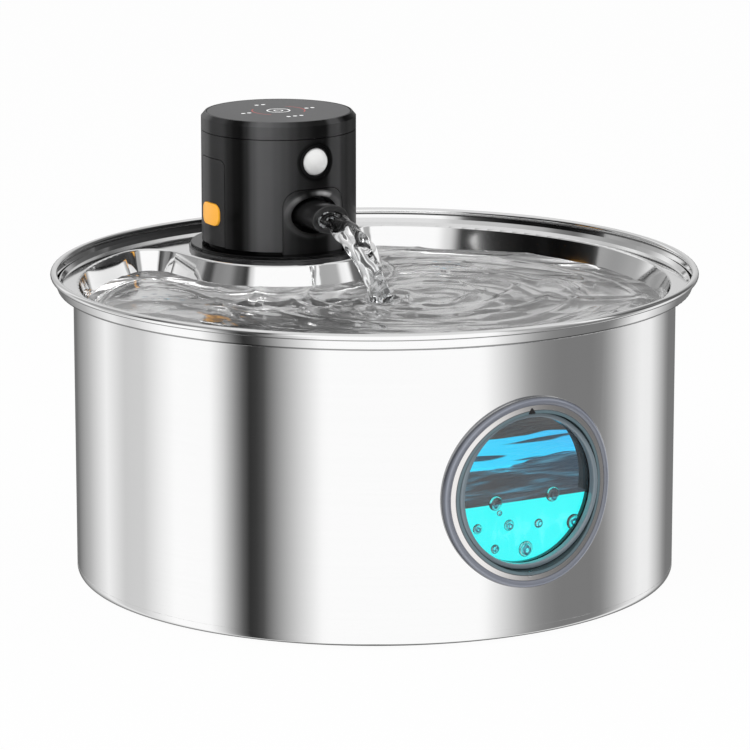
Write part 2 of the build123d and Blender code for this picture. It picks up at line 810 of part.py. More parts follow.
with BuildPart() as pump_shaft:
    add(rod(pump_plane(hub_floor), shaft_radius, well_top + bush_length - hub_floor))
    chamfer(pump_shaft.edges().filter_by(GeomType.CIRCLE), shaft_radius / 5)
finish(pump_shaft, "pump_shaft")

rotor_bore = shaft_radius + running_clearance
with BuildPart() as impeller:
    disc_bottom = impeller_bottom + impeller_height - impeller_disc
    add(rod(pump_plane(disc_bottom), impeller_radius, impeller_disc))
    add(rod(pump_plane(impeller_bottom), impeller_hub_radius, rotor_bottom - impeller_bottom))
    with BuildSketch(pump_plane(impeller_bottom)):
        with PolarLocations(0, blade_count):
            Rectangle(impeller_radius, blade_thickness, align=(Align.MIN, Align.CENTER))
    extrude(amount=disc_bottom - impeller_bottom)
    add(rod(pump_plane(impeller_bottom), rotor_bore, rotor_bottom - impeller_bottom), mode=Mode.SUBTRACT)
finish(impeller, "impeller")

with BuildPart() as rotor_magnet:
    add(tube(pump_plane(rotor_bottom), rotor_radius, rotor_bore, rotor_length))
    rotor_rims = rotor_magnet.edges().filter_by(GeomType.CIRCLE)
    chamfer(rotor_rims.filter_by(lambda e: e.radius > rotor_radius / 2), rotor_gap)
finish(rotor_magnet, "rotor_magnet")

tooth_root = stator_radius - stator_ring / 2
with BuildPart() as stator_core:
    with BuildSketch(pump_plane(stator_bottom)):
        Circle(stator_radius)
        Circle(stator_radius - stator_ring, mode=Mode.SUBTRACT)
        with PolarLocations((tooth_tip + tooth_root) / 2, stator_teeth):
            Rectangle(tooth_root - tooth_tip, tooth_width)
    extrude(amount=stator_height)
finish(stator_core, "stator_core")

with BuildPart() as stator_windings:
    with BuildSketch(pump_plane(stator_bottom - winding_overhang)):
        with PolarLocations(winding_circle, stator_teeth):
            Rectangle(winding_depth, winding_width)
    extrude(amount=stator_height + 2 * winding_overhang)
    with BuildSketch(pump_plane(stator_bottom)):
        with PolarLocations(winding_circle, stator_teeth):
            Rectangle(2 * winding_depth, tooth_width)
    extrude(amount=stator_height, mode=Mode.SUBTRACT)
finish(stator_windings, "stator_windings")

plug_bottom = motor_top - motor_cap_plug
with BuildPart() as motor_cap:
    add(rod(pump_plane(motor_top), pump_radius, motor_cap_thickness))
    fillet(motor_cap.edges().group_by(Axis.Z)[-1], motor_cap_thickness / 3)
    add(tube(pump_plane(plug_bottom), stator_radius, stator_radius - motor_cap_rim, motor_cap_plug))
    add(rod(Plane((0, lead_y, motor_top)), lead_radius, motor_cap_thickness), mode=Mode.SUBTRACT)
finish(motor_cap, "motor_cap")

with BuildPart() as pump_lead:
    add(rod(Plane((0, lead_y, plug_bottom)), lead_radius, tower_top - plug_bottom))
finish(pump_lead, "pump_lead")

# ---------------------------------------------------------------- outlet pipe and spout

with BuildPart() as outlet_pipe:
    with BuildLine(Plane.YZ) as pipe_path:
        FilletPolyline(
            (riser_y, pipe_foot),
            (riser_y, spout_height),
            (unit_offset - pipe_end, spout_height),
            radius=pipe_bend,
        )
    with BuildSketch(riser_plane(pipe_foot)):
        Circle(pipe_radius)
        Circle(pipe_bore, mode=Mode.SUBTRACT)
    sweep(path=pipe_path.wires()[0])
finish(outlet_pipe, "outlet_pipe")

collar_face = pocket_back - spout_collar_gap
with BuildPart() as spout_nozzle:
    collar_length = collar_face - spout_collar_back
    add(rod(unit_front(spout_collar_back, spout_height), spout_collar_radius, collar_length))
    with BuildSketch(unit_front(collar_face, spout_height)):
        Ellipse(spout_width / 2, spout_tall / 2)
    extrude(amount=spout_reach - collar_face)
    fillet(spout_nozzle.edges().group_by(Axis.Y)[0], spout_mouth_rounding)
    with BuildSketch(unit_front(pipe_end, spout_height)):
        Ellipse(spout_width / 2 - spout_wall, spout_tall / 2 - spout_wall)
    extrude(amount=spout_reach - pipe_end, mode=Mode.SUBTRACT)
    socket_length = pipe_end - spout_collar_back
    add(rod(unit_front(spout_collar_back, spout_height), pipe_fit, socket_length), mode=Mode.SUBTRACT)
finish(spout_nozzle, "spout_nozzle")

hatch_half_width = unit_radius * sin(radians(hatch_half_angle))
hatch_plate = arch_block(
    unit_front(pocket_back, 0), hatch_half_width, flange_top, hatch_top, hatch_corner, unit_radius
)
with BuildPart() as spout_surround:
    add(hatch_plate)
    add(unit_layer(unit_radius, head_inner), mode=Mode.INTERSECT)
    with BuildSketch(unit_front(pocket_back, spout_height)):
        Ellipse(pocket_width / 2 + pocket_wall, pocket_tall / 2 + pocket_wall)
    extrude(amount=head_inner - pocket_back)
    add(rod(unit_plane(flange_top), unit_radius, head_top - flange_top), mode=Mode.INTERSECT)
    with BuildSketch(unit_front(pocket_face, spout_height)):
        Ellipse(pocket_width / 2, pocket_tall / 2)
    extrude(amount=pocket_depth, mode=Mode.SUBTRACT)
    with BuildSketch(unit_front(pocket_back, spout_height)):
        Ellipse(spout_width / 2 + assembly_clearance, spout_tall / 2 + assembly_clearance)
    extrude(amount=pocket_floor, mode=Mode.SUBTRACT)
finish(spout_surround, "spout_surround")

# ---------------------------------------------------------------- filter

lug_reach = neck_radius - slip_clearance
with BuildPart() as filter_basket:
    add(rod(unit_plane(basket_bottom), basket_radius, basket_top - basket_bottom))
    fillet(filter_basket.edges().group_by(Axis.Z)[0], basket_rounding)
    add(rod(unit_plane(basket_floor), basket_inner, basket_top - basket_floor), mode=Mode.SUBTRACT)
    with Locations(unit_plane(basket_floor + basket_slot_rise).location):
        with PolarLocations(0, basket_slot_count // 2):
            Box(
                2 * neck_radius,
                basket_slot_width,
                basket_slot_height,
                align=standing,
                mode=Mode.SUBTRACT,
            )
    with BuildSketch(unit_plane(basket_bottom)):
        with PolarLocations(floor_slot_circle, floor_slot_count):
            SlotOverall(floor_slot_length, basket_slot_width)
    extrude(amount=basket_wall, mode=Mode.SUBTRACT)
    for index in range(bayonet_count):
        lug_start = bayonet_first_angle + index * bayonet_step - bayonet_lug_angle / 2
        with BuildSketch(arc_plane(lug_start)):
            with Locations(((basket_inner + lug_reach + basket_wall / 2) / 2, slot_middle)):
                Rectangle(lug_reach - basket_inner - basket_wall / 2, bayonet_lug_height)
        revolve(axis=unit_axis, revolution_arc=bayonet_lug_angle)
finish(filter_basket, "filter_basket")

with BuildPart() as filter_foam:
    add(rod(unit_plane(basket_floor), foam_radius, foam_height))
    chamfer(filter_foam.edges().filter_by(GeomType.CIRCLE), foam_rounding)
finish(filter_foam, "filter_foam")

cartridge_bottom = basket_floor + foam_height
cartridge_web = cartridge_height - cartridge_recess
with BuildPart() as carbon_cartridge:
    add(rod(unit_plane(cartridge_bottom), foam_radius, cartridge_web))
    cartridge_top = unit_plane(cartridge_bottom + cartridge_web)
    add(tube(cartridge_top, foam_radius, foam_radius - cartridge_rim, cartridge_recess))
    with BuildSketch(cartridge_top):
        Circle(cartridge_hub_radius)
        with PolarLocations(0, cartridge_ribs):
            Rectangle(foam_radius - cartridge_rim / 2, cartridge_rim, align=(Align.MIN, Align.CENTER))
    extrude(amount=cartridge_recess)
finish(carbon_cartridge, "carbon_cartridge")

# ---------------------------------------------------------------- control head, outer shells

housing_top = head_parting - seam_gap / 2
lid_bottom = head_parting + seam_gap / 2
spigot_bottom = lid_bottom - spigot_depth
latch_half_width = unit_radius * sin(radians(latch_half_angle))
tab_half_width = unit_radius * sin(radians(latch_half_angle + latch_tab_angle))
hatch_room = arch_block(
    unit_front(pocket_back, 0),
    hatch_half_width + seam_gap,
    flange_bottom,
    hatch_top + seam_gap,
    hatch_corner + seam_gap,
    unit_radius,
)
side_room = unit_radius - button_inner + unit_wall
latch_rooms = [
    arch_block(
        unit_side(button_inner - unit_wall, 0, side),
        latch_half_width + seam_gap,
        flange_bottom,
        latch_top + seam_gap,
        latch_corner + seam_gap,
        side_room,
    )
    for side in (-1, 1)
]
plug_seat = unit_radius - plug_thickness
plug_room = rounded_block(
    unit_back(port_outer, board_height - port_tall / 2),
    plug_width + 2 * slip_clearance,
    plug_tall + 2 * slip_clearance,
    plug_corner + slip_clearance,
    unit_radius,
)
port_opening = rounded_block(
    unit_back(port_outer, board_height - port_tall / 2),
    port_opening_width,
    port_opening_tall,
    port_opening_tall / 3,
    unit_radius,
)
with BuildPart() as head_housing:
    add(tube(unit_plane(head_bottom), unit_radius, head_inner, housing_top - head_bottom))
    add(hatch_room, mode=Mode.SUBTRACT)
    for latch_room in latch_rooms:
        add(latch_room, mode=Mode.SUBTRACT)
    # Ledge under the lid's spigot
    ledge_plane = unit_plane(spigot_bottom - ledge_height)
    add(tube(ledge_plane, head_inner, head_inner - ledge_reach, ledge_height))
    # Screw bosses joined to the wall, and ribs that stand on the base's deck
    with BuildSketch(unit_plane(pillar_top)):
        with PolarLocations(boss_circle, corner_count, start_angle=corner_first_angle):
            Circle(boss_radius)
            Rectangle(head_inner - boss_circle + unit_wall / 2, boss_web, align=(Align.MIN, Align.CENTER))
    extrude(amount=boss_top - pillar_top)
    with BuildSketch(unit_plane(pillar_top)):
        with PolarLocations(boss_circle, corner_count, start_angle=corner_first_angle):
            Circle(chassis_screw_radius)
    extrude(amount=chassis_screw_length, mode=Mode.SUBTRACT)
    with BuildSketch(unit_plane(deck_top)):
        with PolarLocations(head_inner, head_ribs, start_angle=corner_first_angle):
            Rectangle(head_rib_depth, head_rib_width)
    extrude(amount=head_rib_height)
    add(rod(unit_front(pir_bezel_back, pir_height), pir_hole_radius, unit_radius), mode=Mode.SUBTRACT)
    add(port_opening, mode=Mode.SUBTRACT)
    add(plug_room & unit_layer(2 * unit_radius, plug_seat - running_clearance), mode=Mode.SUBTRACT)
finish(head_housing, "head_housing")

touch_bottom = head_top - touch_thickness
plate_bottom = touch_bottom - lid_plate
spigot_inner = head_fit - spigot_wall
groove_floor = head_inner - 2 * seal_section
lid_groove = lid_bottom - spigot_depth / 2 - seal_groove / 2
with BuildPart() as head_lid:
    add(rod(unit_plane(lid_bottom), unit_radius, head_top - lid_bottom))
    chamfer(head_lid.edges().group_by(Axis.Z)[-1], chamfer_height, chamfer_width)
    add(rod(unit_plane(spigot_bottom), head_fit, plate_bottom - spigot_bottom))
    add(rod(unit_plane(spigot_bottom), spigot_inner, plate_bottom - spigot_bottom), mode=Mode.SUBTRACT)
    recess = rod(unit_plane(touch_bottom), touch_radius + assembly_clearance, touch_thickness)
    add(recess, mode=Mode.SUBTRACT)
    add(tube(unit_plane(lid_groove), head_inner, groove_floor, seal_groove), mode=Mode.SUBTRACT)
    with BuildSketch(unit_plane(plate_bottom)):
        with Locations((0, -lamp_front)):
            with GridLocations(lamp_spacing, 0, 3, 1):
                Rectangle(lamp_width + 2 * slip_clearance, lamp_depth + 2 * slip_clearance)
    extrude(amount=lid_plate, mode=Mode.SUBTRACT)
finish(head_lid, "head_lid")

with BuildPart() as touch_panel:
    add(rod(unit_plane(touch_bottom), touch_radius, touch_thickness))
    chamfer(touch_panel.edges().group_by(Axis.Z)[-1], touch_edge)
finish(touch_panel, "touch_panel")

with BuildPart() as touch_board:
    touch_board_radius = spigot_inner - touch_board_gap
    add(rod(unit_plane(plate_bottom - board_thickness), touch_board_radius, board_thickness))
finish(touch_board, "touch_board")

with BuildPart() as status_lamps:
    with BuildSketch(unit_plane(plate_bottom)):
        with Locations((0, -lamp_front)):
            with GridLocations(lamp_spacing, 0, 3, 1):
                Rectangle(lamp_width, lamp_depth)
    extrude(amount=lamp_height)
finish(status_lamps, "status_lamps")

# ---------------------------------------------------------------- control head, inside

chassis_top = chassis_bottom + chassis_plate
chassis_groove = chassis_bottom + (chassis_plate - seal_groove) / 2
pillar_bottom = chassis_bottom + chassis_screw_head
with BuildPart() as head_chassis:
    add(rod(unit_plane(chassis_bottom), head_fit, chassis_plate))
    with BuildSketch(unit_plane(chassis_bottom)):
        with PolarLocations(boss_circle, corner_count, start_angle=corner_first_angle):
            Circle(pillar_radius)
    extrude(amount=pillar_top - chassis_bottom)
    add(tube(unit_plane(chassis_groove), head_inner, groove_floor, seal_groove), mode=Mode.SUBTRACT)
    with BuildSketch(unit_plane(chassis_top)):
        with GridLocations(2 * post_x, 2 * post_y, 2, 2):
            Circle(post_radius)
    extrude(amount=board_height - chassis_top)
    with BuildSketch(unit_plane(chassis_bottom)):
        with PolarLocations(boss_circle, corner_count, start_angle=corner_first_angle):
            Circle(chassis_screw_head_radius)
    extrude(amount=chassis_screw_head, mode=Mode.SUBTRACT)
    with BuildSketch(unit_plane(chassis_bottom)):
        with PolarLocations(boss_circle, corner_count, start_angle=corner_first_angle):
            Circle(chassis_screw_radius)
        with Locations((0, tower_back)):
            with GridLocations(contact_spacing, 0, 2, 1):
                Circle(pin_radius)
    extrude(amount=pillar_top - chassis_bottom, mode=Mode.SUBTRACT)
    with BuildSketch(unit_plane(board_height - board_screw_length + board_thickness)):
        with GridLocations(2 * post_x, 2 * post_y, 2, 2):
            Circle(board_screw_radius)
    extrude(amount=board_screw_length, mode=Mode.SUBTRACT)
finish(head_chassis, "head_chassis")

for seal_name, groove in (("lid_seal", lid_groove), ("chassis_seal", chassis_groove)):
    with BuildPart() as ring_seal:
        with Locations((0, unit_offset, groove + seal_groove / 2)):
            Torus(head_inner - seal_section, seal_section)
    finish(ring_seal, seal_name)

with BuildPart() as chassis_screws:
    with BuildSketch(unit_plane(chassis_bottom)):
        with PolarLocations(boss_circle, corner_count, start_angle=corner_first_angle):
            Circle(chassis_screw_head_radius)
    extrude(amount=chassis_screw_head)
    with BuildSketch(unit_plane(pillar_bottom)):
        with PolarLocations(boss_circle, corner_count, start_angle=corner_first_angle):
            Circle(chassis_screw_radius)
    extrude(amount=chassis_screw_length)
finish(chassis_screws, "chassis_screws")

with BuildPart() as battery_pack:
    with BuildSketch(unit_plane(chassis_top)):
        RectangleRounded(battery_width, battery_depth, battery_rounding)
    extrude(amount=battery_height)
    chamfer(battery_pack.edges().group_by(Axis.Z)[-1], battery_rounding / 3)
finish(battery_pack, "battery_pack")

with BuildPart() as control_board:
    with BuildSketch(unit_plane(board_height)):
        Circle(board_radius)
        with Locations((0, board_tongue_reach / 2)):
            Rectangle(board_tongue_width, board_tongue_reach)
        with GridLocations(2 * post_x, 2 * post_y, 2, 2):
            Circle(board_screw_radius, mode=Mode.SUBTRACT)
    extrude(amount=board_thickness)
finish(control_board, "control_board")

board_top = board_height + board_thickness
with BuildPart() as board_screws:
    with BuildSketch(unit_plane(board_top)):
        with GridLocations(2 * post_x, 2 * post_y, 2, 2):
            Circle(board_screw_head_radius)
    extrude(amount=board_screw_head)
    with BuildSketch(unit_plane(board_top)):
        with GridLocations(2 * post_x, 2 * post_y, 2, 2):
            Circle(board_screw_radius)
    extrude(amount=-board_screw_length)
finish(board_screws, "board_screws")

pin_bottom = tower_top + contact_thickness + pin_gap
with BuildPart() as contact_pins:
    for side in (-1, 1):
        pin_plane = Plane((side * contact_spacing / 2, lead_y, pin_bottom))
        add(rod(pin_plane, pin_radius, board_height - pin_bottom))
finish(contact_pins, "contact_pins")

# ---------------------------------------------------------------- motion sensor

bezel_radius = pir_hole_radius - assembly_clearance
bezel_bore = bezel_radius - pir_bezel_wall
flange_fit = bezel_bore - assembly_clearance
with BuildPart() as pir_bezel:
    add(rod(unit_front(pir_bezel_back, pir_height), bezel_radius, unit_radius))
    outline_top = unit_radius + pir_bezel_proud
    add(rod(unit_plane(flange_bottom), outline_top, head_top - flange_bottom), mode=Mode.INTERSECT)
    lens_hole = rod(
        unit_front(pir_bezel_back, pir_height), pir_lens_radius + assembly_clearance, unit_radius
    )
    add(lens_hole, mode=Mode.SUBTRACT)
    bezel_room = rod(unit_front(pir_bezel_back, pir_height), bezel_bore, pir_lens_seat - pir_bezel_back)
    add(bezel_room, mode=Mode.SUBTRACT)
finish(pir_bezel, "pir_bezel")

# The dome is a spherical cap: radius (b*b + h*h) / 2h for a base radius b and a rise h
dome_sphere = (pir_lens_radius ** 2 + pir_lens_rise ** 2) / (2 * pir_lens_rise)
dome_centre = pir_lens_seat + pir_lens_rise - dome_sphere
with BuildPart() as pir_lens:
    with Locations((0, unit_offset - dome_centre, pir_height)):
        Sphere(dome_sphere)
    add(rod(unit_front(pir_lens_seat, pir_height), pir_lens_radius, dome_sphere), mode=Mode.INTERSECT)
    add(rod(unit_front(pir_lens_seat - pir_flange, pir_height), flange_fit, pir_flange))
    with Locations((0, unit_offset - dome_centre, pir_height)):
        Sphere(dome_sphere - pir_lens_wall, mode=Mode.SUBTRACT)
finish(pir_lens, "pir_lens")

sensor_board_back = pir_bezel_back + pir_lens_wall / 2
sensor_back = sensor_board_back + pir_board_thickness
with BuildPart() as pir_board:
    add(rod(unit_front(sensor_board_back, pir_height), flange_fit, pir_board_thickness))
finish(pir_board, "pir_board")

with BuildPart() as pir_sensor:
    add(rod(unit_front(sensor_back, pir_height), pir_sensor_radius, pir_sensor_height))
    fillet(pir_sensor.edges().group_by(Axis.Y)[0], pir_sensor_radius / 8)
finish(pir_sensor, "pir_sensor")

# ---------------------------------------------------------------- charging port

port_height = board_height - port_tall / 2
port_back = port_outer - port_length
with BuildPart() as charge_port:
    with BuildSketch(unit_back(port_back, port_height)):
        RectangleRounded(port_width, port_tall, port_tall / 2.5)
    extrude(amount=port_length)
    with BuildSketch(unit_back(port_back + 2 * port_wall, port_height)):
        RectangleRounded(port_width - 2 * port_wall, port_tall - 2 * port_wall, port_tall / 3)
    extrude(amount=port_length, mode=Mode.SUBTRACT)
finish(charge_port, "charge_port")

plug_plate = rounded_block(
    unit_back(port_outer, port_height), plug_width, plug_tall, plug_corner, unit_radius
)
with BuildPart() as port_plug:
    add(plug_plate)
    add(unit_layer(unit_radius, plug_seat), mode=Mode.INTERSECT)
    with BuildSketch(unit_back(plug_seat - plug_insert_length, port_height)):
        RectangleRounded(plug_insert_width, plug_insert_tall, plug_insert_tall / 3)
    extrude(amount=plug_insert_length + plug_thickness / 2)
finish(port_plug, "port_plug")

# ---------------------------------------------------------------- side latches

button_face = unit_radius + button_proud
sleeve_reach = head_inner + unit_wall / 2
sleeve_room_width = button_width + 2 * slip_clearance
sleeve_room_tall = button_tall + 2 * slip_clearance
sleeve_room_corner = button_corner + slip_clearance
stem_inner = catch_radius - stem_thick_overlap
stem_outer = catch_radius + catch_thickness + stem_thick_overlap
for side, hand in ((-1, "left"), (1, "right")):
    panel_plate = arch_block(
        unit_side(sleeve_inner, 0, side), latch_half_width, latch_bottom, latch_top, latch_corner, unit_radius
    )
    tab_plate = arch_block(
        unit_side(sleeve_inner, 0, side),
        tab_half_width,
        latch_tab_bottom,
        latch_tab_top,
        latch_corner,
        unit_radius,
    )
    rib_plate = arch_block(
        unit_side(sleeve_inner, 0, side),
        latch_half_width - seam_gap,
        latch_tab_bottom,
        latch_tab_top,
        latch_corner,
        unit_radius,
    )
    sleeve_block = rounded_block(
        unit_side(sleeve_inner, button_height, side),
        sleeve_room_width + 2 * sleeve_wall,
        sleeve_room_tall + 2 * sleeve_wall,
        sleeve_room_corner + sleeve_wall,
        unit_radius,
    )
    sleeve_room = rounded_block(
        unit_side(sleeve_inner + sleeve_floor, button_height, side),
        sleeve_room_width,
        sleeve_room_tall,
        sleeve_room_corner,
        unit_radius,
    )
    stem_room = rounded_block(
        unit_side(sleeve_inner, button_height, side),
        stem_thick_width + 2 * slip_clearance,
        stem_thick_tall + 2 * slip_clearance,
        slip_clearance,
        unit_radius,
    )
    tab_inner = head_fit - latch_tab_thickness
    with BuildPart() as latch_panel:
        add(panel_plate & unit_layer(unit_radius, head_inner))
        add(rib_plate & unit_layer(sleeve_reach, tab_inner))
        add(tab_plate & unit_layer(head_fit, tab_inner))
        add(sleeve_block & rod(unit_plane(flange_bottom), sleeve_reach, head_top - flange_bottom))
        add(sleeve_room, mode=Mode.SUBTRACT)
        add(stem_room, mode=Mode.SUBTRACT)
    finish(latch_panel, f"latch_panel_{hand}")

    button_block = rounded_block(
        unit_side(button_inner, button_height, side), button_width, button_tall, button_corner, unit_radius
    )
    with BuildPart() as release_button:
        add(button_block)
        add(rod(unit_plane(flange_bottom), button_face, head_top - flange_bottom), mode=Mode.INTERSECT)
        outer_edges = release_button.edges().filter_by(
            lambda e: abs(e.center().X) > unit_radius - 2 * button_proud
        )
        fillet(outer_edges, button_rounding)
        with BuildSketch(unit_side(stem_inner, button_height, side)):
            Rectangle(stem_thin_width, stem_thin_tall)
        extrude(amount=button_inner - stem_inner)
        with BuildSketch(unit_side(stem_inner, button_height, side)):
            Rectangle(stem_thick_width, stem_thick_tall)
        extrude(amount=stem_outer - stem_inner)
    finish(release_button, f"release_button_{hand}")

    spring_seat = sleeve_inner + sleeve_floor + spring_wire
    spring_length = button_inner - spring_wire - spring_seat
    coil = Helix(
        pitch=spring_length / spring_turns,
        height=spring_length,
        radius=spring_coil_radius,
        center=(side * spring_seat, unit_offset, button_height),
        direction=(side, 0, 0),
    )
    with BuildPart() as latch_spring:
        with BuildSketch(Plane(origin=coil @ 0, z_dir=coil % 0)):
            Circle(spring_wire)
        sweep(path=coil, is_frenet=True)
    finish(latch_spring, f"latch_spring_{hand}")
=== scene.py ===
# %% [markdown]
# # A pet water fountain
# A round steel bowl carries a shallow drinking tray, and a black pump unit stands at the
# tray's back and pours a stream into it. Its solids come ready-made, each as a named node
# in metres. This lesson dresses them: it finds each node, gives it a finish, and adds what
# the solids leave out, which is the water, the window's soft rubber ring and small rims.
# Shapes are worked out in millimetres, and mm turns them into Blender's metres.

# %% Load the solids
import bpy
import bmesh
import numpy as np
from math import radians, pi
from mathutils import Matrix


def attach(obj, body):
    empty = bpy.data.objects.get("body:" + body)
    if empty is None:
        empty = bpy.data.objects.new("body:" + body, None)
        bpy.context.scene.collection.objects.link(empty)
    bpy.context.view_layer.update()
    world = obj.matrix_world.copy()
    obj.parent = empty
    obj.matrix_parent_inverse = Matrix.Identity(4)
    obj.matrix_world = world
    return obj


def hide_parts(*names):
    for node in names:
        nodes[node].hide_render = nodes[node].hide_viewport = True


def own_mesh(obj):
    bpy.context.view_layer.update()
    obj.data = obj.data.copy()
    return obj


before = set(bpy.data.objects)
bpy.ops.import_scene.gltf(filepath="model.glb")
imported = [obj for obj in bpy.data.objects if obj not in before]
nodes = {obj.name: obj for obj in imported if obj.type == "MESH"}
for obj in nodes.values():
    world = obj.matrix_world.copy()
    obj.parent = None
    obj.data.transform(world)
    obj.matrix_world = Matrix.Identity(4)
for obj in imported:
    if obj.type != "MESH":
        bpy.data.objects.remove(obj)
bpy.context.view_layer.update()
mm = 0.001
unit_y = 86.3  # the pump unit's axis stands this far behind the bowl's
window_z, button_z, spout_z, lens_z = 62.8, 146.8, 148.7, 172.4  # heights of their axes

# %% [markdown]
# The camera stands in front and to the left, at about the height of a person who crouches.
# A long lens from 1.9 m keeps the bowl's rim a calm ellipse.

# %% Camera
camera_turn = radians(29.8)  # to the left of the window's axis
camera_data = bpy.data.cameras.new("camera")
camera_data.sensor_width = 36.0
camera_data.lens = 209.54
camera = bpy.data.objects.new("camera", camera_data)
camera.location = (-0.9191, -1.6052, 0.5057)
camera.rotation_euler = (radians(90 - 12.772), 0, -camera_turn)
bpy.context.scene.collection.objects.link(camera)
bpy.context.scene.camera = camera
bpy.context.scene.view_settings.view_transform = "Standard"
print("camera at", tuple(round(v, 3) for v in camera.location))

# %% [markdown]
# A material or a world is a graph of nodes. Each helper below adds one node to a graph, or a
# few that belong together, and returns the output that the next node reads. An input takes
# a number, a colour of three numbers, or such an output.

# %% Helpers for node graphs
def link(tree, source, target):
    """Joins an output socket to an input socket."""
    tree.links.new(source, target)


def feed(tree, socket, value):
    """Gives an input socket a number, a colour or another node's output."""
    if isinstance(value, (int, float)):
        socket.default_value = value
    elif isinstance(value, tuple):
        socket.default_value = (*value, 1)
    else:
        link(tree, value, socket)


def math_node(tree, operation, *values):
    """A Math node on up to three values."""
    node = tree.nodes.new("ShaderNodeMath")
    node.operation = operation
    for socket, value in zip(node.inputs, values):
        feed(tree, socket, value)
    return node.outputs[0]


def span(tree, a, b):
    """The root of the sum of two squares: the distance that a and b make at right angles."""
    squares = [math_node(tree, "MULTIPLY", side, side) for side in (a, b)]
    return math_node(tree, "SQRT", math_node(tree, "ADD", *squares))


def turn_share(tree, x, y, start, way=1):
    """The direction of (x, y) as a share of a full turn, from 0 to 1."""
    turn = math_node(tree, "ARCTAN2", x, y)
    return math_node(tree, "FRACT", math_node(tree, "MULTIPLY_ADD", turn, way / (2 * pi), start))


def ramp_node(tree, factor, stops, blend="EASE"):
    """A colour ramp; stops are (place, grey or colour)."""
    node = tree.nodes.new("ShaderNodeValToRGB")
    node.color_ramp.interpolation = blend
    elements = node.color_ramp.elements
    while len(elements) < len(stops):
        elements.new(0.5)
    for element, (place, colour) in zip(elements, stops):
        element.position = place
        grey = isinstance(colour, (int, float))
        element.color = (colour, colour, colour, 1) if grey else (*colour, 1)
    link(tree, factor, node.inputs["Fac"])
    return node.outputs["Color"]


def rise(tree, value, low, high):
    """A smooth step of a socket from 0 at low to 1 at high."""
    node = tree.nodes.new("ShaderNodeMapRange")
    node.interpolation_type = "SMOOTHSTEP"
    node.inputs["From Min"].default_value = low
    node.inputs["From Max"].default_value = high
    link(tree, value, node.inputs["Value"])
    return node.outputs[0]


def mix_colours(tree, factor, first, second, blend="MIX"):
    """Mixes two colours by a factor."""
    node = tree.nodes.new("ShaderNodeMix")
    node.data_type = "RGBA"
    node.blend_type = blend
    for name, value in (("Factor", factor), ("A", first), ("B", second)):
        feed(tree, node.inputs[name], value)
    return node.outputs["Result"]


def mix_shaders(tree, factor, first, second):
    """Mixes two shaders by a factor."""
    node = tree.nodes.new("ShaderNodeMixShader")
    for socket, value in zip(node.inputs, (factor, first, second)):
        link(tree, value, socket)
    return node.outputs[0]


def place_of(tree, kind="Object"):
    """The coordinates of the point that is shaded."""
    return tree.nodes.new("ShaderNodeTexCoord").outputs[kind]


def axes_of(tree, vector):
    """X, Y and Z of a vector."""
    split = tree.nodes.new("ShaderNodeSeparateXYZ")
    link(tree, vector, split.inputs[0])
    return split.outputs


print("helpers for node graphs are ready")

# %% [markdown]
# Polished steel has hardly a look of its own: it shows the room. So the room comes first.
# A photographer would stand dark cards between soft white walls. The same is done here in
# the world's colour, by direction. Upright steel mirrors what lies below the horizon, and
# sloping steel what lies above it, so there are two rings of tones. Each is a list of
# degrees to the right of the lens and a grey from 0 to 255.

# %% Tones of the room
def light_of(grey):
    """A grey of 0 to 255 on the screen, as light."""
    return (grey / 255) ** 2.2


wall_tones = [
    (41, 255), (50, 214), (55, 187), (60, 156), (66, 133), (74, 121), (90, 121), (96, 131),
    (103, 172), (111, 216), (122, 240), (130, 238), (137, 205), (147, 145), (152, 120),
    (198, 112), (218, 178), (236.5, 241), (241.5, 229), (250, 203), (262, 207), (272, 240),
    (279, 255), (295, 254), (300, 222), (305.5, 150), (310.5, 67), (313, 42), (318, 80),
    (325, 161), (332, 210), (341, 255),
]
ceiling_tones = [
    (0, 255), (42, 255), (52, 165), (72, 170), (80, 240), (88, 250), (95, 105), (110, 84),
    (122, 118), (132, 84), (146, 96), (156, 165), (168, 200), (180, 210), (205, 190), (218, 235),
    (232, 165), (246, 150), (260, 165), (268, 80), (275, 70), (283, 130), (300, 140), (312, 90),
    (322, 60), (328, 215), (334, 255),
]
print("tones:", len(wall_tones), "low,", len(ceiling_tones), "high")

# %% [markdown]
# A mirror's facing halves the angle between the way to the lens and the way it shows. The
# lower ring is laid out by that facing, for the bowl's wall as the lens sees it, so a bright
# band runs straight down over the bowl's lip, wall and foot. The facing has a seam behind
# the object, so the back third goes by the compass alone.

# %% World
world = bpy.data.worlds.new("studio")
bpy.context.scene.world = world
world.use_nodes = True
tree = world.node_tree
tree.nodes.clear()
x, y, z = axes_of(tree, place_of(tree, "Generated"))
level_view = 0.975  # the level part of a unit step towards the lens
behind_lens = 180 / 360 + camera_turn / (2 * pi)
by_turn = turn_share(tree, x, y, behind_lens, -1)
sum_x = math_node(tree, "SUBTRACT", x, level_view * np.sin(camera_turn).item())
sum_y = math_node(tree, "SUBTRACT", y, level_view * np.cos(camera_turn).item())
facing = turn_share(tree, sum_x, sum_y, behind_lens + 0.5, -1)

bowl_radius, lens_away = 0.13, 1.85
turns = np.radians(np.linspace(-85, 85, 341))
normals = np.stack([np.sin(turns), np.cos(turns)])
rays = bowl_radius * normals - np.array([[0.0], [lens_away]])
rays *= level_view / np.hypot(*rays)
mirrored_rays = rays - 2 * (rays * normals).sum(axis=0) * normals
shown = np.degrees(np.arctan2(mirrored_rays[0], mirrored_rays[1]))
facings = np.degrees(np.arctan2(mirrored_rays[0], mirrored_rays[1] + level_view))
wall_stops = []
for degrees, grey in wall_tones:
    signed = degrees if degrees < 180 else degrees - 360
    if shown[0] < signed < shown[-1]:
        faced = np.interp(signed, shown, facings).item()
        wall_stops.append((0.5 + faced / 360, light_of(grey)))

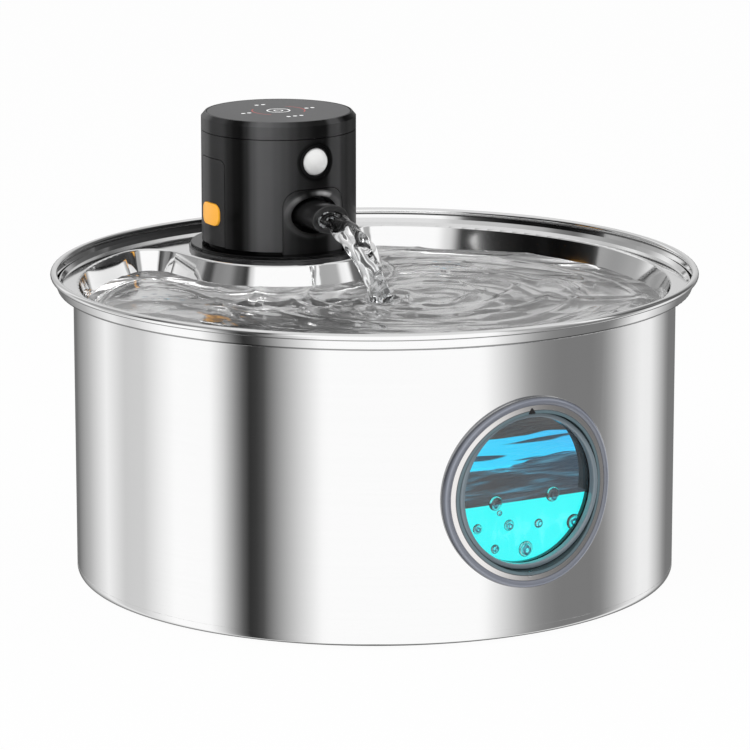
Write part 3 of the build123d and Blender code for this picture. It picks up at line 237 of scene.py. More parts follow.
by_facing = ramp_node(tree, facing, sorted(wall_stops), "LINEAR")
by_compass, high = (
    ramp_node(tree, by_turn, [(degrees / 360, light_of(grey)) for degrees, grey in tones], blend)
    for tones, blend in ((wall_tones, "LINEAR"), (ceiling_tones, "EASE"))
)
off_back = math_node(tree, "ABSOLUTE", math_node(tree, "SUBTRACT", by_turn, 0.5))
low = mix_colours(tree, rise(tree, off_back, 0.14, 0.20), by_compass, by_facing)
cards = mix_colours(tree, rise(tree, z, -0.08, 0.03), low, high)
cards = mix_colours(tree, rise(tree, z, 0.50, 0.85), cards, (0.72, 0.72, 0.72))


def background(colour, strength=1.0):
    """A Background shader of the world."""
    node = tree.nodes.new("ShaderNodeBackground")
    feed(tree, node.inputs["Color"], colour)
    node.inputs["Strength"].default_value = strength
    return node.outputs[0]


paths = tree.nodes.new("ShaderNodeLightPath").outputs
white = (1.0, 1.0, 1.0)
lit = mix_shaders(tree, paths["Is Glossy Ray"], background(white, 0.62), background(cards))
lit = mix_shaders(tree, paths["Is Camera Ray"], lit, background(white))
link(tree, lit, tree.nodes.new("ShaderNodeOutputWorld").inputs["Surface"])
print("world:", len(tree.nodes), "nodes")

# %% [markdown]
# Two large lamps give form to the matt pieces and a soft shadow on the floor. They are kept
# plain, so a colour renders about as it is written.

# %% Lamps
def soft_lamp(name, location, aim, size, watts):
    """A square area lamp at a place, turned to face its aim and hidden from mirrors."""
    data = bpy.data.lights.new(name, "AREA")
    data.shape = "SQUARE"
    data.size = size
    data.energy = watts
    lamp = bpy.data.objects.new(name, data)
    lamp.location = location
    away = np.array(location) - np.array(aim)
    flat = np.hypot(away[0], away[1])
    lamp.rotation_euler = (np.arctan2(flat, away[2]), 0, np.arctan2(away[1], away[0]) + pi / 2)
    lamp.visible_glossy = False
    bpy.context.scene.collection.objects.link(lamp)
    print(name, "at", location)


soft_lamp("key_lamp", (-1.3, -0.5, 1.7), (0, 0, 0.1), 1.1, 14.0)
soft_lamp("side_lamp", (1.5, -1.0, 1.1), (0, 0, 0.1), 1.0, 6.0)

# %% [markdown]
# The floor is pure white to the lens and still takes the fountain's shadow: its shader
# mixes a white glow into a white matt surface. Steel doesn't see it, because the cards
# stand on it in a real studio.

# %% Floor
def new_material(name):
    """An empty node material with its Principled shader."""
    made = bpy.data.materials.new(name)
    made.use_nodes = True
    made.node_tree.nodes.clear()
    shader = made.node_tree.nodes.new("ShaderNodeBsdfPrincipled")
    output = made.node_tree.nodes.new("ShaderNodeOutputMaterial")
    link(made.node_tree, shader.outputs[0], output.inputs["Surface"])
    return made, made.node_tree, shader


def settings(shader, **values):
    """Sets a shader's own sockets; an underscore stands for the space in a socket's name."""
    for name, value in values.items():
        feed(None, shader.inputs[name.replace("_", " ")], value)


floor_mesh = bpy.data.meshes.new("floor")
reach = 6.0
corners = [(-reach, -reach, 0), (reach, -reach, 0), (reach, reach, 0), (-reach, reach, 0)]
floor_mesh.from_pydata(corners, [], [(0, 1, 2, 3)])
floor = bpy.data.objects.new("floor", floor_mesh)
bpy.context.scene.collection.objects.link(floor)
floor_paint, tree, shader = new_material("floor_paint")
settings(shader, Base_Color=(0.96, 0.96, 0.96), Roughness=0.9, Specular_IOR_Level=0.0)
glow = tree.nodes.new("ShaderNodeEmission")
settings(glow, Color=white, Strength=1.0)
paths = tree.nodes.new("ShaderNodeLightPath").outputs
mostly = math_node(tree, "MULTIPLY", paths["Is Camera Ray"], 0.955)
mixed = mix_shaders(tree, mostly, shader.outputs[0], glow.outputs[0])
link(tree, mixed, tree.nodes["Material Output"].inputs["Surface"])
floor_mesh.materials.append(floor_paint)
floor.visible_glossy = False
print("floor:", 2 * reach, "m wide")

# %% [markdown]
# Every finish gets small-scale life. Both effects below serve many materials, so each is a
# node group, made once. The first is the faint grain of moulded plastic and rubber.

# %% Node group: moulded grain
def node_group(name, inputs, outputs, kind="NodeSocketFloat"):
    """A shader node group: inputs are names with their defaults, outputs are names."""
    group = bpy.data.node_groups.new(name, "ShaderNodeTree")
    for socket, default in inputs.items():
        made = group.interface.new_socket(name=socket, in_out="INPUT", socket_type="NodeSocketFloat")
        made.default_value = default
    for socket in outputs:
        group.interface.new_socket(name=socket, in_out="OUTPUT", socket_type=kind)
    start = group.nodes.new("NodeGroupInput").outputs
    end = group.nodes.new("NodeGroupOutput").inputs
    return group, start, end


def noise_node(tree, vector, scale, detail=2.0):
    """A Noise texture's value on a vector."""
    node = tree.nodes.new("ShaderNodeTexNoise")
    node.inputs["Detail"].default_value = detail
    link(tree, vector, node.inputs["Vector"])
    feed(tree, node.inputs["Scale"], scale)
    return node.outputs["Fac"]


def end_group(group, start, end, fine, broad, shade):
    """Ends a group: its roughness is the one set plus the spread times what both noises,
    each 0.5 on average, make above 1. The fine one is the height."""
    uneven = math_node(group, "SUBTRACT", math_node(group, "ADD", fine, broad), 1.0)
    rough = math_node(group, "MULTIPLY_ADD", uneven, start["Spread"], start["Roughness"])
    link(group, math_node(group, "MAXIMUM", rough, 0.02), end["Roughness"])
    link(group, fine, end["Height"])
    link(group, shade, end["Shade"])
    print("group:", group.name, "with", len(group.nodes), "nodes")


life_outputs = ["Roughness", "Height", "Shade"]
grain, start, end = node_group(
    "moulded_grain", {"Scale": 900.0, "Roughness": 0.4, "Spread": 0.1}, life_outputs
)
where = place_of(grain)
fine = noise_node(grain, where, start["Scale"])
broad = noise_node(grain, where, 22.0, 3.0)
end_group(grain, start, end, fine, broad, math_node(grain, "MULTIPLY_ADD", broad, 0.16, 0.92))

# %% [markdown]
# The second is the fine lines that a polishing wheel leaves round the Z axis. Noise is read
# at the direction from the axis, which changes slowly round the piece, and at the radius
# plus the height, which changes fast across the lines.

# %% Node group: wheel-polished lines
polish, start, end = node_group(
    "wheel_polish", {"Lines": 900.0, "Roughness": 0.1, "Spread": 0.05}, life_outputs
)
where = place_of(polish)
x, y, z = axes_of(polish, where)
radius = span(polish, x, y)
safe = math_node(polish, "MAXIMUM", radius, 0.001)
ring = polish.nodes.new("ShaderNodeCombineXYZ")
link(polish, math_node(polish, "DIVIDE", x, safe), ring.inputs[0])
link(polish, math_node(polish, "DIVIDE", y, safe), ring.inputs[1])
across = math_node(polish, "MULTIPLY", math_node(polish, "ADD", radius, z), start["Lines"])
link(polish, across, ring.inputs[2])
lines = noise_node(polish, ring.outputs[0], 1.0, 3.0)
cloud = noise_node(polish, where, 14.0, 3.0)
end_group(polish, start, end, lines, cloud, math_node(polish, "MULTIPLY_ADD", lines, 0.02, 0.99))

# %% [markdown]
# A finish is then a Principled shader with one of the two groups on its colour, roughness
# and bump. The functions below make every plastic, rubber and metal of the fountain from a
# few numbers, put it on nodes, and tint or paint it further.

# %% Finishes from the two groups
def bump(tree, shader, height, depth):
    """Feeds a height, in metres times its 0 to 1 value, to the shader's normal."""
    node = tree.nodes.new("ShaderNodeBump")
    settings(node, Strength=1.0, Distance=depth)
    link(tree, height, node.inputs["Height"])
    link(tree, node.outputs[0], shader.inputs["Normal"])


def finish(name, colour, group, depth, values):
    """A material with a group's shade on its colour, and its roughness and height."""
    made, tree, shader = new_material(name)
    life = tree.nodes.new("ShaderNodeGroup")
    life.node_tree = group
    settings(life, **values)
    shaded = mix_colours(tree, 1.0, colour, life.outputs["Shade"], "MULTIPLY")
    link(tree, shaded, shader.inputs["Base Color"])
    link(tree, life.outputs["Roughness"], shader.inputs["Roughness"])
    bump(tree, shader, life.outputs["Height"], depth)
    return made, shader


def moulded(name, colour, roughness=0.4, spread=0.1, scale=900.0, depth=0.00002, coat=0.0, gloss=0.5):
    """Plastic or rubber: a coloured base with a moulded grain and, if coated, a clear gloss."""
    values = {"Scale": scale, "Roughness": roughness, "Spread": spread}
    made, shader = finish(name, colour, grain, depth, values)
    settings(shader, Coat_Weight=coat, Coat_Roughness=0.08, Specular_IOR_Level=gloss)
    return made


def metal(name, colour, roughness=0.15, spread=0.08, lines=900.0, depth=0.000004):
    """Metal with fine lines round the Z axis."""
    values = {"Lines": lines, "Roughness": roughness, "Spread": spread}
    made, shader = finish(name, colour, polish, depth, values)
    settings(shader, Metallic=1.0)
    return made


def dress(material, *names):
    """Puts a material on CAD nodes."""
    for name in names:
        data = nodes[name].data
        data.materials.clear()
        data.materials.append(material)
    print(material.name, "on", ", ".join(names))


def graph_of(material):
    """A material's node tree, and the socket of its colour with what now feeds it."""
    tree = material.node_tree
    socket = tree.nodes["Principled BSDF"].inputs["Base Color"]
    return tree, socket, socket.links[0].from_socket


def tint_by(material, shade):
    """Multiplies a material's colour by a shade of its own node tree."""
    tree, socket, colour = graph_of(material)
    link(tree, mix_colours(tree, 1.0, colour, shade, "MULTIPLY"), socket)


def paint_on(material, mask, paint):
    """Lays a paint over a material's colour, where a mask is 1."""
    tree, socket, colour = graph_of(material)
    link(tree, mix_colours(tree, mask, colour, paint), socket)


print("finishes: moulded and metal")

# %% [markdown]
# The bowl and the tray are deep-drawn stainless steel, polished on a wheel. The steel is
# nearly a mirror, blurred a little by the polish. Two thin lines of painted shade run round
# the bowl, in the creases where its neck turns out and where its lip is rolled over.

# %% Steel finishes
def painted_shade_line(low, high, tone):
    """Ramp stops of a painted shade line between two places, with narrow soft edges."""
    return [(low - 0.01, 1.0), (low, tone), (high, tone), (high + 0.01, 1.0)]


polished = {"spread": 0.02, "depth": 0.0000004}
bowl_steel = metal("bowl_steel", (0.965, 0.965, 0.965), roughness=0.06, **polished)
tray_steel = metal("tray_steel", (0.965, 0.965, 0.965), roughness=0.07, **polished)
tree = bowl_steel.node_tree
height = axes_of(tree, place_of(tree))["Z"]
above = math_node(tree, "MULTIPLY_ADD", height, 50.0, -6.0)  # 0 at 120 mm, 1 at 140 mm
# Painted shade: two dark lines in the creases, the lower one at the neck and the darker one at the lip.
painted_crease_shade = painted_shade_line(0.370, 0.395, 0.30) + painted_shade_line(0.583, 0.603, 0.20)
tint_by(bowl_steel, ramp_node(tree, above, painted_crease_shade, "LINEAR"))
dress(bowl_steel, "bowl")
dress(tray_steel, "tray")

# %% [markdown]
# The head's black plastic is satin. Its sheen, paler in upright bands, is painted into its
# colour as painted highlights and painted shade. The bands are a ramp over the angle round
# the unit's axis, so they belong to the piece and not to the view.

# %% Node group: painted sheen bands round the unit
painted_sheen, start, end = node_group("painted_sheen_bands", {}, ["Shade"], "NodeSocketColor")
x, y, z = axes_of(painted_sheen, place_of(painted_sheen))
ahead = math_node(painted_sheen, "SUBTRACT", unit_y * mm, y)
round_unit = turn_share(painted_sheen, x, ahead, camera_turn / (2 * pi) + 0.5)
# Painted sheen: greys of the paler and darker bands, by degrees round the unit.
painted_sheen_tones = [
    (-150, 40), (-90, 84), (-74, 96), (-66, 84), (-58, 52), (-45, 60), (-38, 34), (-33, 0), (-28, 10),
    (-23, 50), (-18, 86), (-13, 100), (-6, 96), (0, 86), (6, 76), (12, 60), (18, 42), (30, 22),
    (38, 24), (44, 76), (51, 78), (56, 46), (62, 0), (90, 10), (150, 40),
]
painted_sheen_stops = [(0.5 + degrees / 360, light_of(grey)) for degrees, grey in painted_sheen_tones]
link(painted_sheen, ramp_node(painted_sheen, round_unit, painted_sheen_stops), end["Shade"])


def black_with_painted_sheen(name):
    """Satin black plastic of the unit, with the painted sheen bands on its colour."""
    made = moulded(
        name, (0.97, 0.97, 0.99), roughness=0.4, spread=0.06, depth=0.000002, coat=0.12, gloss=0.06
    )
    painted_bands = made.node_tree.nodes.new("ShaderNodeGroup")
    painted_bands.node_tree = painted_sheen
    tint_by(made, painted_bands.outputs["Shade"])
    return made


print("satin bands:", len(painted_sheen_stops))

# %% [markdown]
# The head has a ring of painted shade round its sensor, where the housing dips to the bezel.
# On the hatch under it, a painted highlight lies on the rim of the spout's pocket, and the
# hatch round the rim is painted darker or lighter by direction, as shade and light. There a
# place is told by the pocket's own oval: how many times the oval's size it lies out, and in
# which direction round it.

# %% Black finishes of the pump unit
head_black = black_with_painted_sheen("head_black")
tree = head_black.node_tree
x, y, z = axes_of(tree, place_of(tree))
from_lens = span(tree, x, math_node(tree, "SUBTRACT", z, lens_z * mm))
# The back of the housing is as near in x and z, so the depth behind the front counts too
behind = math_node(tree, "MAXIMUM", math_node(tree, "SUBTRACT", y, 0.07), 0.0)
from_lens = math_node(tree, "ADD", from_lens, behind)
# Painted shade: the housing is darkened nearly to black in a ring round the sensor's bezel.
recess_shade = ramp_node(tree, math_node(tree, "DIVIDE", from_lens, 0.012), [(0.70, 0.04), (0.78, 1.0)])
tint_by(head_black, recess_shade)

hood_black = black_with_painted_sheen("hood_black")
tree = hood_black.node_tree
x, y, z = axes_of(tree, place_of(tree))
wide = math_node(tree, "DIVIDE", x, 11.6 * mm)
tall = math_node(tree, "DIVIDE", math_node(tree, "SUBTRACT", z, spout_z * mm), 8.3 * mm)
around = turn_share(tree, wide, tall, 0.5)
out = math_node(tree, "DIVIDE", span(tree, wide, tall), 2.0)
rim_lights = [
    (-180, 0.02), (-150, 0.05), (-100, 0.05), (-65, 0.16), (-42, 0.34), (-28, 0.06), (-16, 0.0),
    (-4, 0.12), (8, 0.70), (20, 1.0), (30, 0.70), (38, 0.06), (60, 0.10), (120, 0.02), (165, 0.04),
]
rim_shades = [
    (-180, 0.62), (-150, 0.55), (-110, 0.8), (-60, 1.0), (-40, 0.9), (-24, 0.40), (-12, 0.15),
    (6, 0.5), (20, 0.9), (50, 1.0), (110, 1.0), (135, 1.6), (155, 1.1), (172, 0.7),
]
rim_light, rim_shade = (
    ramp_node(tree, around, [(0.5 + degrees / 360, share) for degrees, share in stops])
    for stops in (rim_lights, rim_shades)
)
rim_band = ramp_node(tree, out, [
    (0.50, 0.0), (0.535, 0.5), (0.570, 1.0), (0.610, 1.0), (0.650, 0.25), (0.69, 0.0),
])
# Painted shade and light on the hatch by direction round the pocket, then a painted highlight in a band
# along its rim.
tint_by(hood_black, rim_shade)
paint_on(hood_black, math_node(tree, "MULTIPLY", rim_light, rim_band), (0.55, 0.55, 0.55))

latch_black = black_with_painted_sheen("latch_black")
base_black = moulded(
    "base_black", (0.002, 0.002, 0.0022), roughness=0.14, spread=0.03, depth=0.000002, coat=0.22, gloss=0.06
)
spout_black = moulded(
    "spout_black", (0.016, 0.016, 0.0165), roughness=0.3, spread=0.06, depth=0.000002, coat=0.8, gloss=0.3
)
bezel_black = moulded(
    "bezel_black", (0.002, 0.002, 0.0022), roughness=0.2, spread=0.03, coat=0.1, gloss=0.08
)
seal_black = moulded("seal_rubber", (0.012, 0.012, 0.013), roughness=0.22, spread=0.06, coat=0.4)
dress(head_black, "head_housing", "head_lid")
dress(latch_black, "latch_panel_left", "latch_panel_right")
dress(base_black, "pump_base")
dress(hood_black, "spout_surround")
dress(spout_black, "spout_nozzle")
dress(bezel_black, "pir_bezel")
dress(seal_black, "flange_seal", "lid_seal", "chassis_seal", "shaft_bushes")

# %% [markdown]
# The buttons are amber plastic that lets a little light through; a faint painted glow stands
# for that light. Pads, washer and plug are matt rubbers that differ in their shade and grain.

# %% Buttons and rubbers
button_amber = moulded("button_amber", (1.0, 0.45, 0.04), roughness=0.35, spread=0.05, coat=0.3)
amber_shader = button_amber.node_tree.nodes["Principled BSDF"]
# A painted glow: emission stands for the light that passes through the amber.
settings(amber_shader, Emission_Color=(1.0, 0.48, 0.03), Emission_Strength=0.30)
pad_rubber = moulded("pad_rubber", (0.02, 0.02, 0.021), roughness=0.7, spread=0.1, scale=1400.0)
dress(button_amber, "release_button_left", "release_button_right")
dress(pad_rubber, "anti_slip_pads")
dress(moulded("washer_rubber", (0.03, 0.03, 0.032), roughness=0.6), "window_saddle_washer")
dress(moulded("plug_rubber", (0.012, 0.012, 0.0125), roughness=0.45), "port_plug")

# %% [markdown]
# The window is rings within rings, so its finishes change with the distance from its axis.
# The soft gasket has a painted highlight along its crown and painted shade lines at its inner
# and outer edges. The frame's ledge is plated bright, and the land inside it is grey-blue
# plastic between two lines of painted shade, where its narrow gaps would be dark.

# %% Window finishes
def window_radius(tree):
    """Distance from the window's axis, as a share of 40 mm."""
    x, y, z = axes_of(tree, place_of(tree))
    away = span(tree, x, math_node(tree, "SUBTRACT", z, window_z * mm))
    return math_node(tree, "DIVIDE", away, 40 * mm)


gasket_rubber = moulded(
    "gasket_rubber", (0.20, 0.215, 0.26), roughness=0.2, spread=0.05, depth=0.000004, coat=1.0
)
tree = gasket_rubber.node_tree
# Painted shade lines at the inner and outer edges, and a painted highlight along the crown.
tint_by(gasket_rubber, ramp_node(tree, window_radius(tree), [
    (0.922, 0.30), (0.930, 1.0), (0.968, 1.0), (0.974, 1.45), (0.980, 1.45), (0.986, 0.95), (0.994, 0.90),
    (0.999, 0.35),
], "LINEAR"))

frame_plastic = metal("frame_plastic", (0.86, 0.84, 0.83), roughness=0.14, depth=0.000001)
tree, socket, plating = graph_of(frame_plastic)
plated = ramp_node(tree, window_radius(tree), [(0.872, 0.0), (0.876, 1.0)], "LINEAR")
# Painted shade: a dark line at each edge of the land, where a gap would be.
land = ramp_node(tree, window_radius(tree), [
    (0.830, (0.02, 0.03, 0.03)), (0.838, (0.13, 0.20, 0.225)), (0.862, (0.15, 0.21, 0.24)),
    (0.868, (0.10, 0.13, 0.14)), (0.872, (0.02, 0.025, 0.03)),
], "LINEAR")
link(tree, mix_colours(tree, plated, land, plating), socket)
link(tree, plated, socket.node.inputs["Metallic"])
ring_plastic = moulded("ring_plastic", (0.20, 0.25, 0.285), roughness=0.18, coat=1.0)
dress(gasket_rubber, "window_gasket")
dress(frame_plastic, "window_frame")
dress(ring_plastic, "window_retaining_ring")
dress(moulded("nut_plastic", (0.05, 0.05, 0.055), roughness=0.45), "window_nut")

# %% [markdown]
# New pieces are surfaces worked out with numpy: a grid of points, rows by columns, whose
# places come from a formula. The tool below joins neighbours with four-sided faces and
# welds what touches, so a grid that closes on itself becomes a solid.

# %% Mesh tools
def grid_faces(rows, columns, wrap):
    """Quads between neighbours of a grid; wrap joins its last row to its first one."""
    r = np.arange(rows if wrap else rows - 1)[:, None]
    c = np.arange(columns - 1)[None, :]
    after = (r + 1) % rows
    corners = (r * columns + c, r * columns + c + 1, after * columns + c + 1, after * columns + c)
    return np.stack(np.broadcast_arrays(*corners), axis=-1).reshape(-1, 4)


def new_piece(name, grids, body, slot, material, wrap=False, crease=None):
    """One smooth mesh of several grids (rows, columns, 3) in millimetres, on a body. Edges
    that turn by more than crease degrees stay sharp."""
    points, faces, start = [], [], 0
    for grid in grids:
        rows, columns = grid.shape[:2]
        points.append(grid.reshape(-1, 3))
        faces.append(grid_faces(rows, columns, wrap) + start)
        start += rows * columns
    mesh = bpy.data.meshes.new(name)
    mesh.from_pydata((np.vstack(points) * mm).tolist(), [], np.vstack(faces).tolist())
    work = bmesh.new()
    work.from_mesh(mesh)
    bmesh.ops.remove_doubles(work, verts=work.verts, dist=1e-6)
    bmesh.ops.recalc_face_normals(work, faces=work.faces)
    work.to_mesh(mesh)
    work.free()
    mesh.shade_smooth()
    if crease:
        mesh.set_sharp_from_angle(angle=radians(crease))
    mesh.materials.append(material)
    piece = bpy.data.objects.new(name, mesh)
    bpy.context.scene.collection.objects.link(piece)
    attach(piece, body)
    print(name, "has", len(mesh.polygons), "faces")
    return piece


def smooth_step(low, high, value):
    """0 below low, 1 above high and a smooth S between them."""
    t = np.clip((value - low) / (high - low), 0, 1)
    return t * t * (3 - 2 * t)


# %% [markdown]
# Water shows only by what it bends and mirrors, so it is real glass in the shader: full
# transmission, the refractive index of water, and a roughness near zero. A faint noise
# breaks up the surface where the grid is too coarse for the smallest ripples. The water in
# the pool also has a soft grey mottle of painted shade and reflection on its colour, which
# is faint at the left.

# %% Water materials
def see_through(name, scale, detail, roughness, depth, clear=1.0, index=1.333):
    """A clear material whose roughness and height come from one noise."""
    made, tree, shader = new_material(name)
    where = place_of(tree)
    small = noise_node(tree, where, scale, detail)
    link(tree, math_node(tree, "MULTIPLY", small, roughness), shader.inputs["Roughness"])
    bump(tree, shader, small, depth)
    settings(shader, Transmission_Weight=clear, IOR=index)
    return made, tree, shader.inputs["Base Color"], where, small


clear_water, tree, colour, where, small = see_through("clear_water", 110.0, 2.0, 0.03, 0.00008)
link(tree, ramp_node(tree, small, [(0.3, (0.93, 0.95, 0.96)), (0.7, (1.0, 1.0, 1.0))]), colour)

pool_look, tree, colour, where, small = see_through("pool_water", 110.0, 2.0, 0.08, 0.00005, 0.85)
drift = noise_node(tree, where, 16.0, 2.0)
swirl = noise_node(tree, where, math_node(tree, "MULTIPLY_ADD", drift, 60.0, 24.0), 3.0)
x, y, z = axes_of(tree, where)
slant = math_node(tree, "MULTIPLY_ADD", y, -0.47, x)
slant = math_node(tree, "MULTIPLY_ADD", drift, 0.060, slant)
# Painted shade: how strongly the grey mottle darkens the water, weak at the left.
painted_shade_reach = ramp_node(tree, math_node(tree, "MULTIPLY_ADD", slant, 4.0, 0.5), [
    (0.5 + 4.0 * at, share)
    for at, share in ((-0.080, 0.12), (-0.040, 0.60), (-0.025, 0.60), (0.000, 0.48), (0.020, 0.42))
])
painted_shade_mottle = ramp_node(tree, swirl, [(0.30, 1.0), (0.68, 0.19)])
link(tree, math_node(tree, "SUBTRACT", 1.0, math_node(tree, "MULTIPLY", painted_shade_mottle, painted_shade_reach)), colour)
print("water:", clear_water.name, pool_look.name)

# %% [markdown]
# The drinking water fills the tray's pool, which is a crescent round the plateau. Its
# outline is two curves that meet in a point at each end: the plateau's side and the pool's
# outer wall, each with half of the rounded corner. The surface is ruled between the two.

# %% Outline of the pool at any height
tray_top = 128.6
wall_slope = radians(20)
side_turn = radians(6.4)


def along(points, count):
    """Resamples a polyline to evenly spaced points."""
    step = np.hypot(*np.diff(points, axis=0).T)
    length = np.concatenate([[0], np.cumsum(step)])
    even = np.linspace(0, length[-1], count)
    return np.stack([np.interp(even, length, points[:, k]) for k in (0, 1)], axis=1)


def arc(centre, radius, first, last, count=160):
    """Points of an arc between two angles."""
    turn = np.linspace(first, last, count)
    return np.stack([centre[0] + radius * np.cos(turn), centre[1] + radius * np.sin(turn)], axis=1)


def pool_outline(grow, half):
    """Inner and outer curve, from the middle of the front to one end, of the pool grown by
    grow. The corner's centre lies its radius from the plateau's side line and from the
    outer circle."""
    front, outer, corner = 43.5 - grow, 127.9 + grow, 14.0 + grow
    line = np.array([np.sin(side_turn), np.cos(side_turn)])
    normal = np.array([np.cos(side_turn), -np.sin(side_turn)])
    near = np.array([front * np.cos(side_turn), unit_y - front * np.sin(side_turn)])
    base = near + corner * normal
    b, c = base @ line, base @ base - (outer - corner) ** 2
    middle = base + (np.sqrt(b * b - c) - b) * line
    on_line = np.arctan2(*(-normal)[::-1])
    on_circle = np.arctan2(middle[1], middle[0])
    halfway = (on_line + on_circle) / 2
    inner_curve = np.vstack([
        arc((0, unit_y), front, -pi / 2, -side_turn),
        arc(middle, corner, on_line, halfway),
    ])
    outer_curve = np.vstack([
        arc((0, 0), outer, -pi / 2, on_circle),
        arc(middle, corner, on_circle, halfway),
    ])
    return along(inner_curve, half), along(outer_curve, half)


print("outline ends at", pool_outline(-3.3, 50)[0][-1].round(2))

# %% [markdown]
# The swell is a sum of waves in plan. Round the stream's foot stand a dimple and rings that
# die away, and wider broken rings lie round a swirl beside it. Sines bent by other sines
# make the rest, and one minus the size of a sine, to a power, makes the narrow crests
# between wide hollows that real waves have.

# %% Height of the drinking water
foot = np.array([3.5, -1.2])  # where the stream lands
water_level = 119.6
foot_rings = (  # radius, height, width, how far it strays, in how many waves, from what turn
    (9.5, 1.1, 2.8, 1.0, 3, 0.6),
    (20, 0.7, 4.2, 2.2, 2, 1.4),
    (34, 0.6, 5.5, 3.5, 2, -0.7),
)
swirl_rings = ((24, 0.9), (36, 1.2), (49, 1.25), (63, 1.15), (78, 0.95), (94, 0.7))


def crest(phase, power):
    """Narrow ridges, 0 to 1, at each whole multiple of pi."""
    return (1 - np.abs(np.sin(phase))) ** power


def swell(x, y):
    """Height of the moving water over its level, in millimetres."""
    dx, dy = x - foot[0], y - foot[1]
    away = np.hypot(dx, dy)
    turn = np.arctan2(dy, dx)
    rings = -1.4 * np.exp(-((away / 5.5) ** 2))
    for radius, height, width, strays, waves, first in foot_rings:
        wander = away - radius + strays * np.sin(waves * turn + first)
        rings += height * np.exp(-((wander / width) ** 2))
    out_x, out_y = x - 29, y - 3
    out = np.hypot(out_x, out_y)
    around = np.arctan2(out_y, out_x)
    for radius, height in swirl_rings:
        wander = out - radius + 3.0 * np.sin(2 * around + radius / 9) + 1.2 * np.sin(5 * around - radius / 5)
        broken = 0.6 + 0.4 * np.sin(3 * around + radius / 4)
        rings += height * broken * np.exp(-np.abs(wander / 2.4) ** 1.4)
    bent_x = x + 12 * np.sin(y / 24 + 0.8) + 4 * np.sin(y / 11 + x / 26)
    bent_y = y + 12 * np.sin(x / 29 + 2.1) + 4 * np.sin(x / 12 - y / 31)
    spiral = 0.3 * np.sin(out / 2.6 + around + np.sin(bent_x / 20))
    spiral = spiral * np.exp(-(((out - 34) / 30) ** 2)) * smooth_step(14, 24, away)
    broad = 0.45 * np.sin(bent_x / 11 + bent_y / 19) + 0.35 * np.sin(bent_y / 10 - bent_x / 27)
    folds = 0.75 * crest(bent_x / 30 + bent_y / 19 + 0.7, 3) + 0.55 * crest(bent_y / 17 - bent_x / 36, 3)
    choppy = np.exp(-(((x + 58) / 24) ** 2) - ((y - 28) / 30) ** 2)
    restless = 0.35 + 0.65 * smooth_step(-95, -55, x) * smooth_step(-112, -85, y)
    restless = restless * (0.4 + 0.6 * smooth_step(45, 95, out))
    sharp = 2.6 * crest(bent_x / 17 + bent_y / 33, 2) + 1.8 * crest(bent_x / 24 - bent_y / 22, 2) - 1.2
    return rings + spiral + restless * (broad + folds + choppy * sharp) - 0.5


print("swell at the foot:", swell(*foot).round(2), "mm")

# %% [markdown]
# The body of water is closed, a little inside the steel all the way. Loops of points go
# round its section, one beside the other from the middle to each end. A loop runs over the
# top, down the outer wall, round the floor's corner and back under the floor.

# %% Water in the tray
floor_z, floor_corner = 113.6, 5.0


def lean(z):
    """How far the sloping wall has moved in from its top, at a height z."""
    return -(tray_top - z) * np.tan(wall_slope)


def pool_water():
    """Both halves of the water: over the top a point is (1 - s) times the inner curve plus s
    times the outer, at the level plus the swell, which calms down towards the steel."""
    half, across, embed = 260, 108, 0.5
    inner, outer = pool_outline(lean(water_level) + embed, half)
    share = np.linspace(0, 1, across)[:, None]
    x = (1 - share) * inner[:, 0] + share * outer[:, 0]
    y = (1 - share) * inner[:, 1] + share * outer[:, 1]
    calm = smooth_step(0, 0.06, share) * smooth_step(0, 0.05, 1 - share)
    calm = 0.25 + 0.75 * calm * smooth_step(0, 0.06, 1 - np.linspace(0, 1, half))
    turn = np.linspace(-wall_slope, -pi / 2, 7)
    corner_grow = lean(floor_z) - floor_corner / np.cos(wall_slope)
    corner_radius = floor_corner + 0.5 * embed
    depths = [(lean(z) + embed, z) for z in (117.5, 115.5, floor_z)]
    depths += [(corner_grow + corner_radius * np.cos(a), floor_z + corner_radius * np.sin(a)) for a in turn]
    sides = []
    for mirror in (1, -1):
        top = np.stack([mirror * x, y, water_level + calm * swell(mirror * x, y)], axis=-1)
        rings_in, rings_out = [], []
        for grow, z in depths:
            height = np.full(half, z)
            for rings, curve in zip((rings_in, rings_out), pool_outline(grow, half)):
                rings.append(np.stack([mirror * curve[:, 0], curve[:, 1], height], axis=-1))
        under = np.linspace(1, 0, 10)[1:-1, None, None]
        floor_rows = (1 - under) * rings_in[-1] + under * rings_out[-1]
        sides.append(np.concatenate([top, np.array(rings_out), floor_rows, np.array(rings_in)[::-1]]))
    return sides


new_piece("water_in_tray", pool_water(), "drinking_tray", "clear_water", pool_look, wrap=True)

# %% [markdown]
# The stream leaves the nozzle level, at about half a metre a second, and falls along a
# parabola. It is a tube whose section starts as the flat mouth, then pulls itself nearly
# round and twists, with two and three lobes that turn as it falls.

# %% Stream from the spout
mouth_y = 38.8


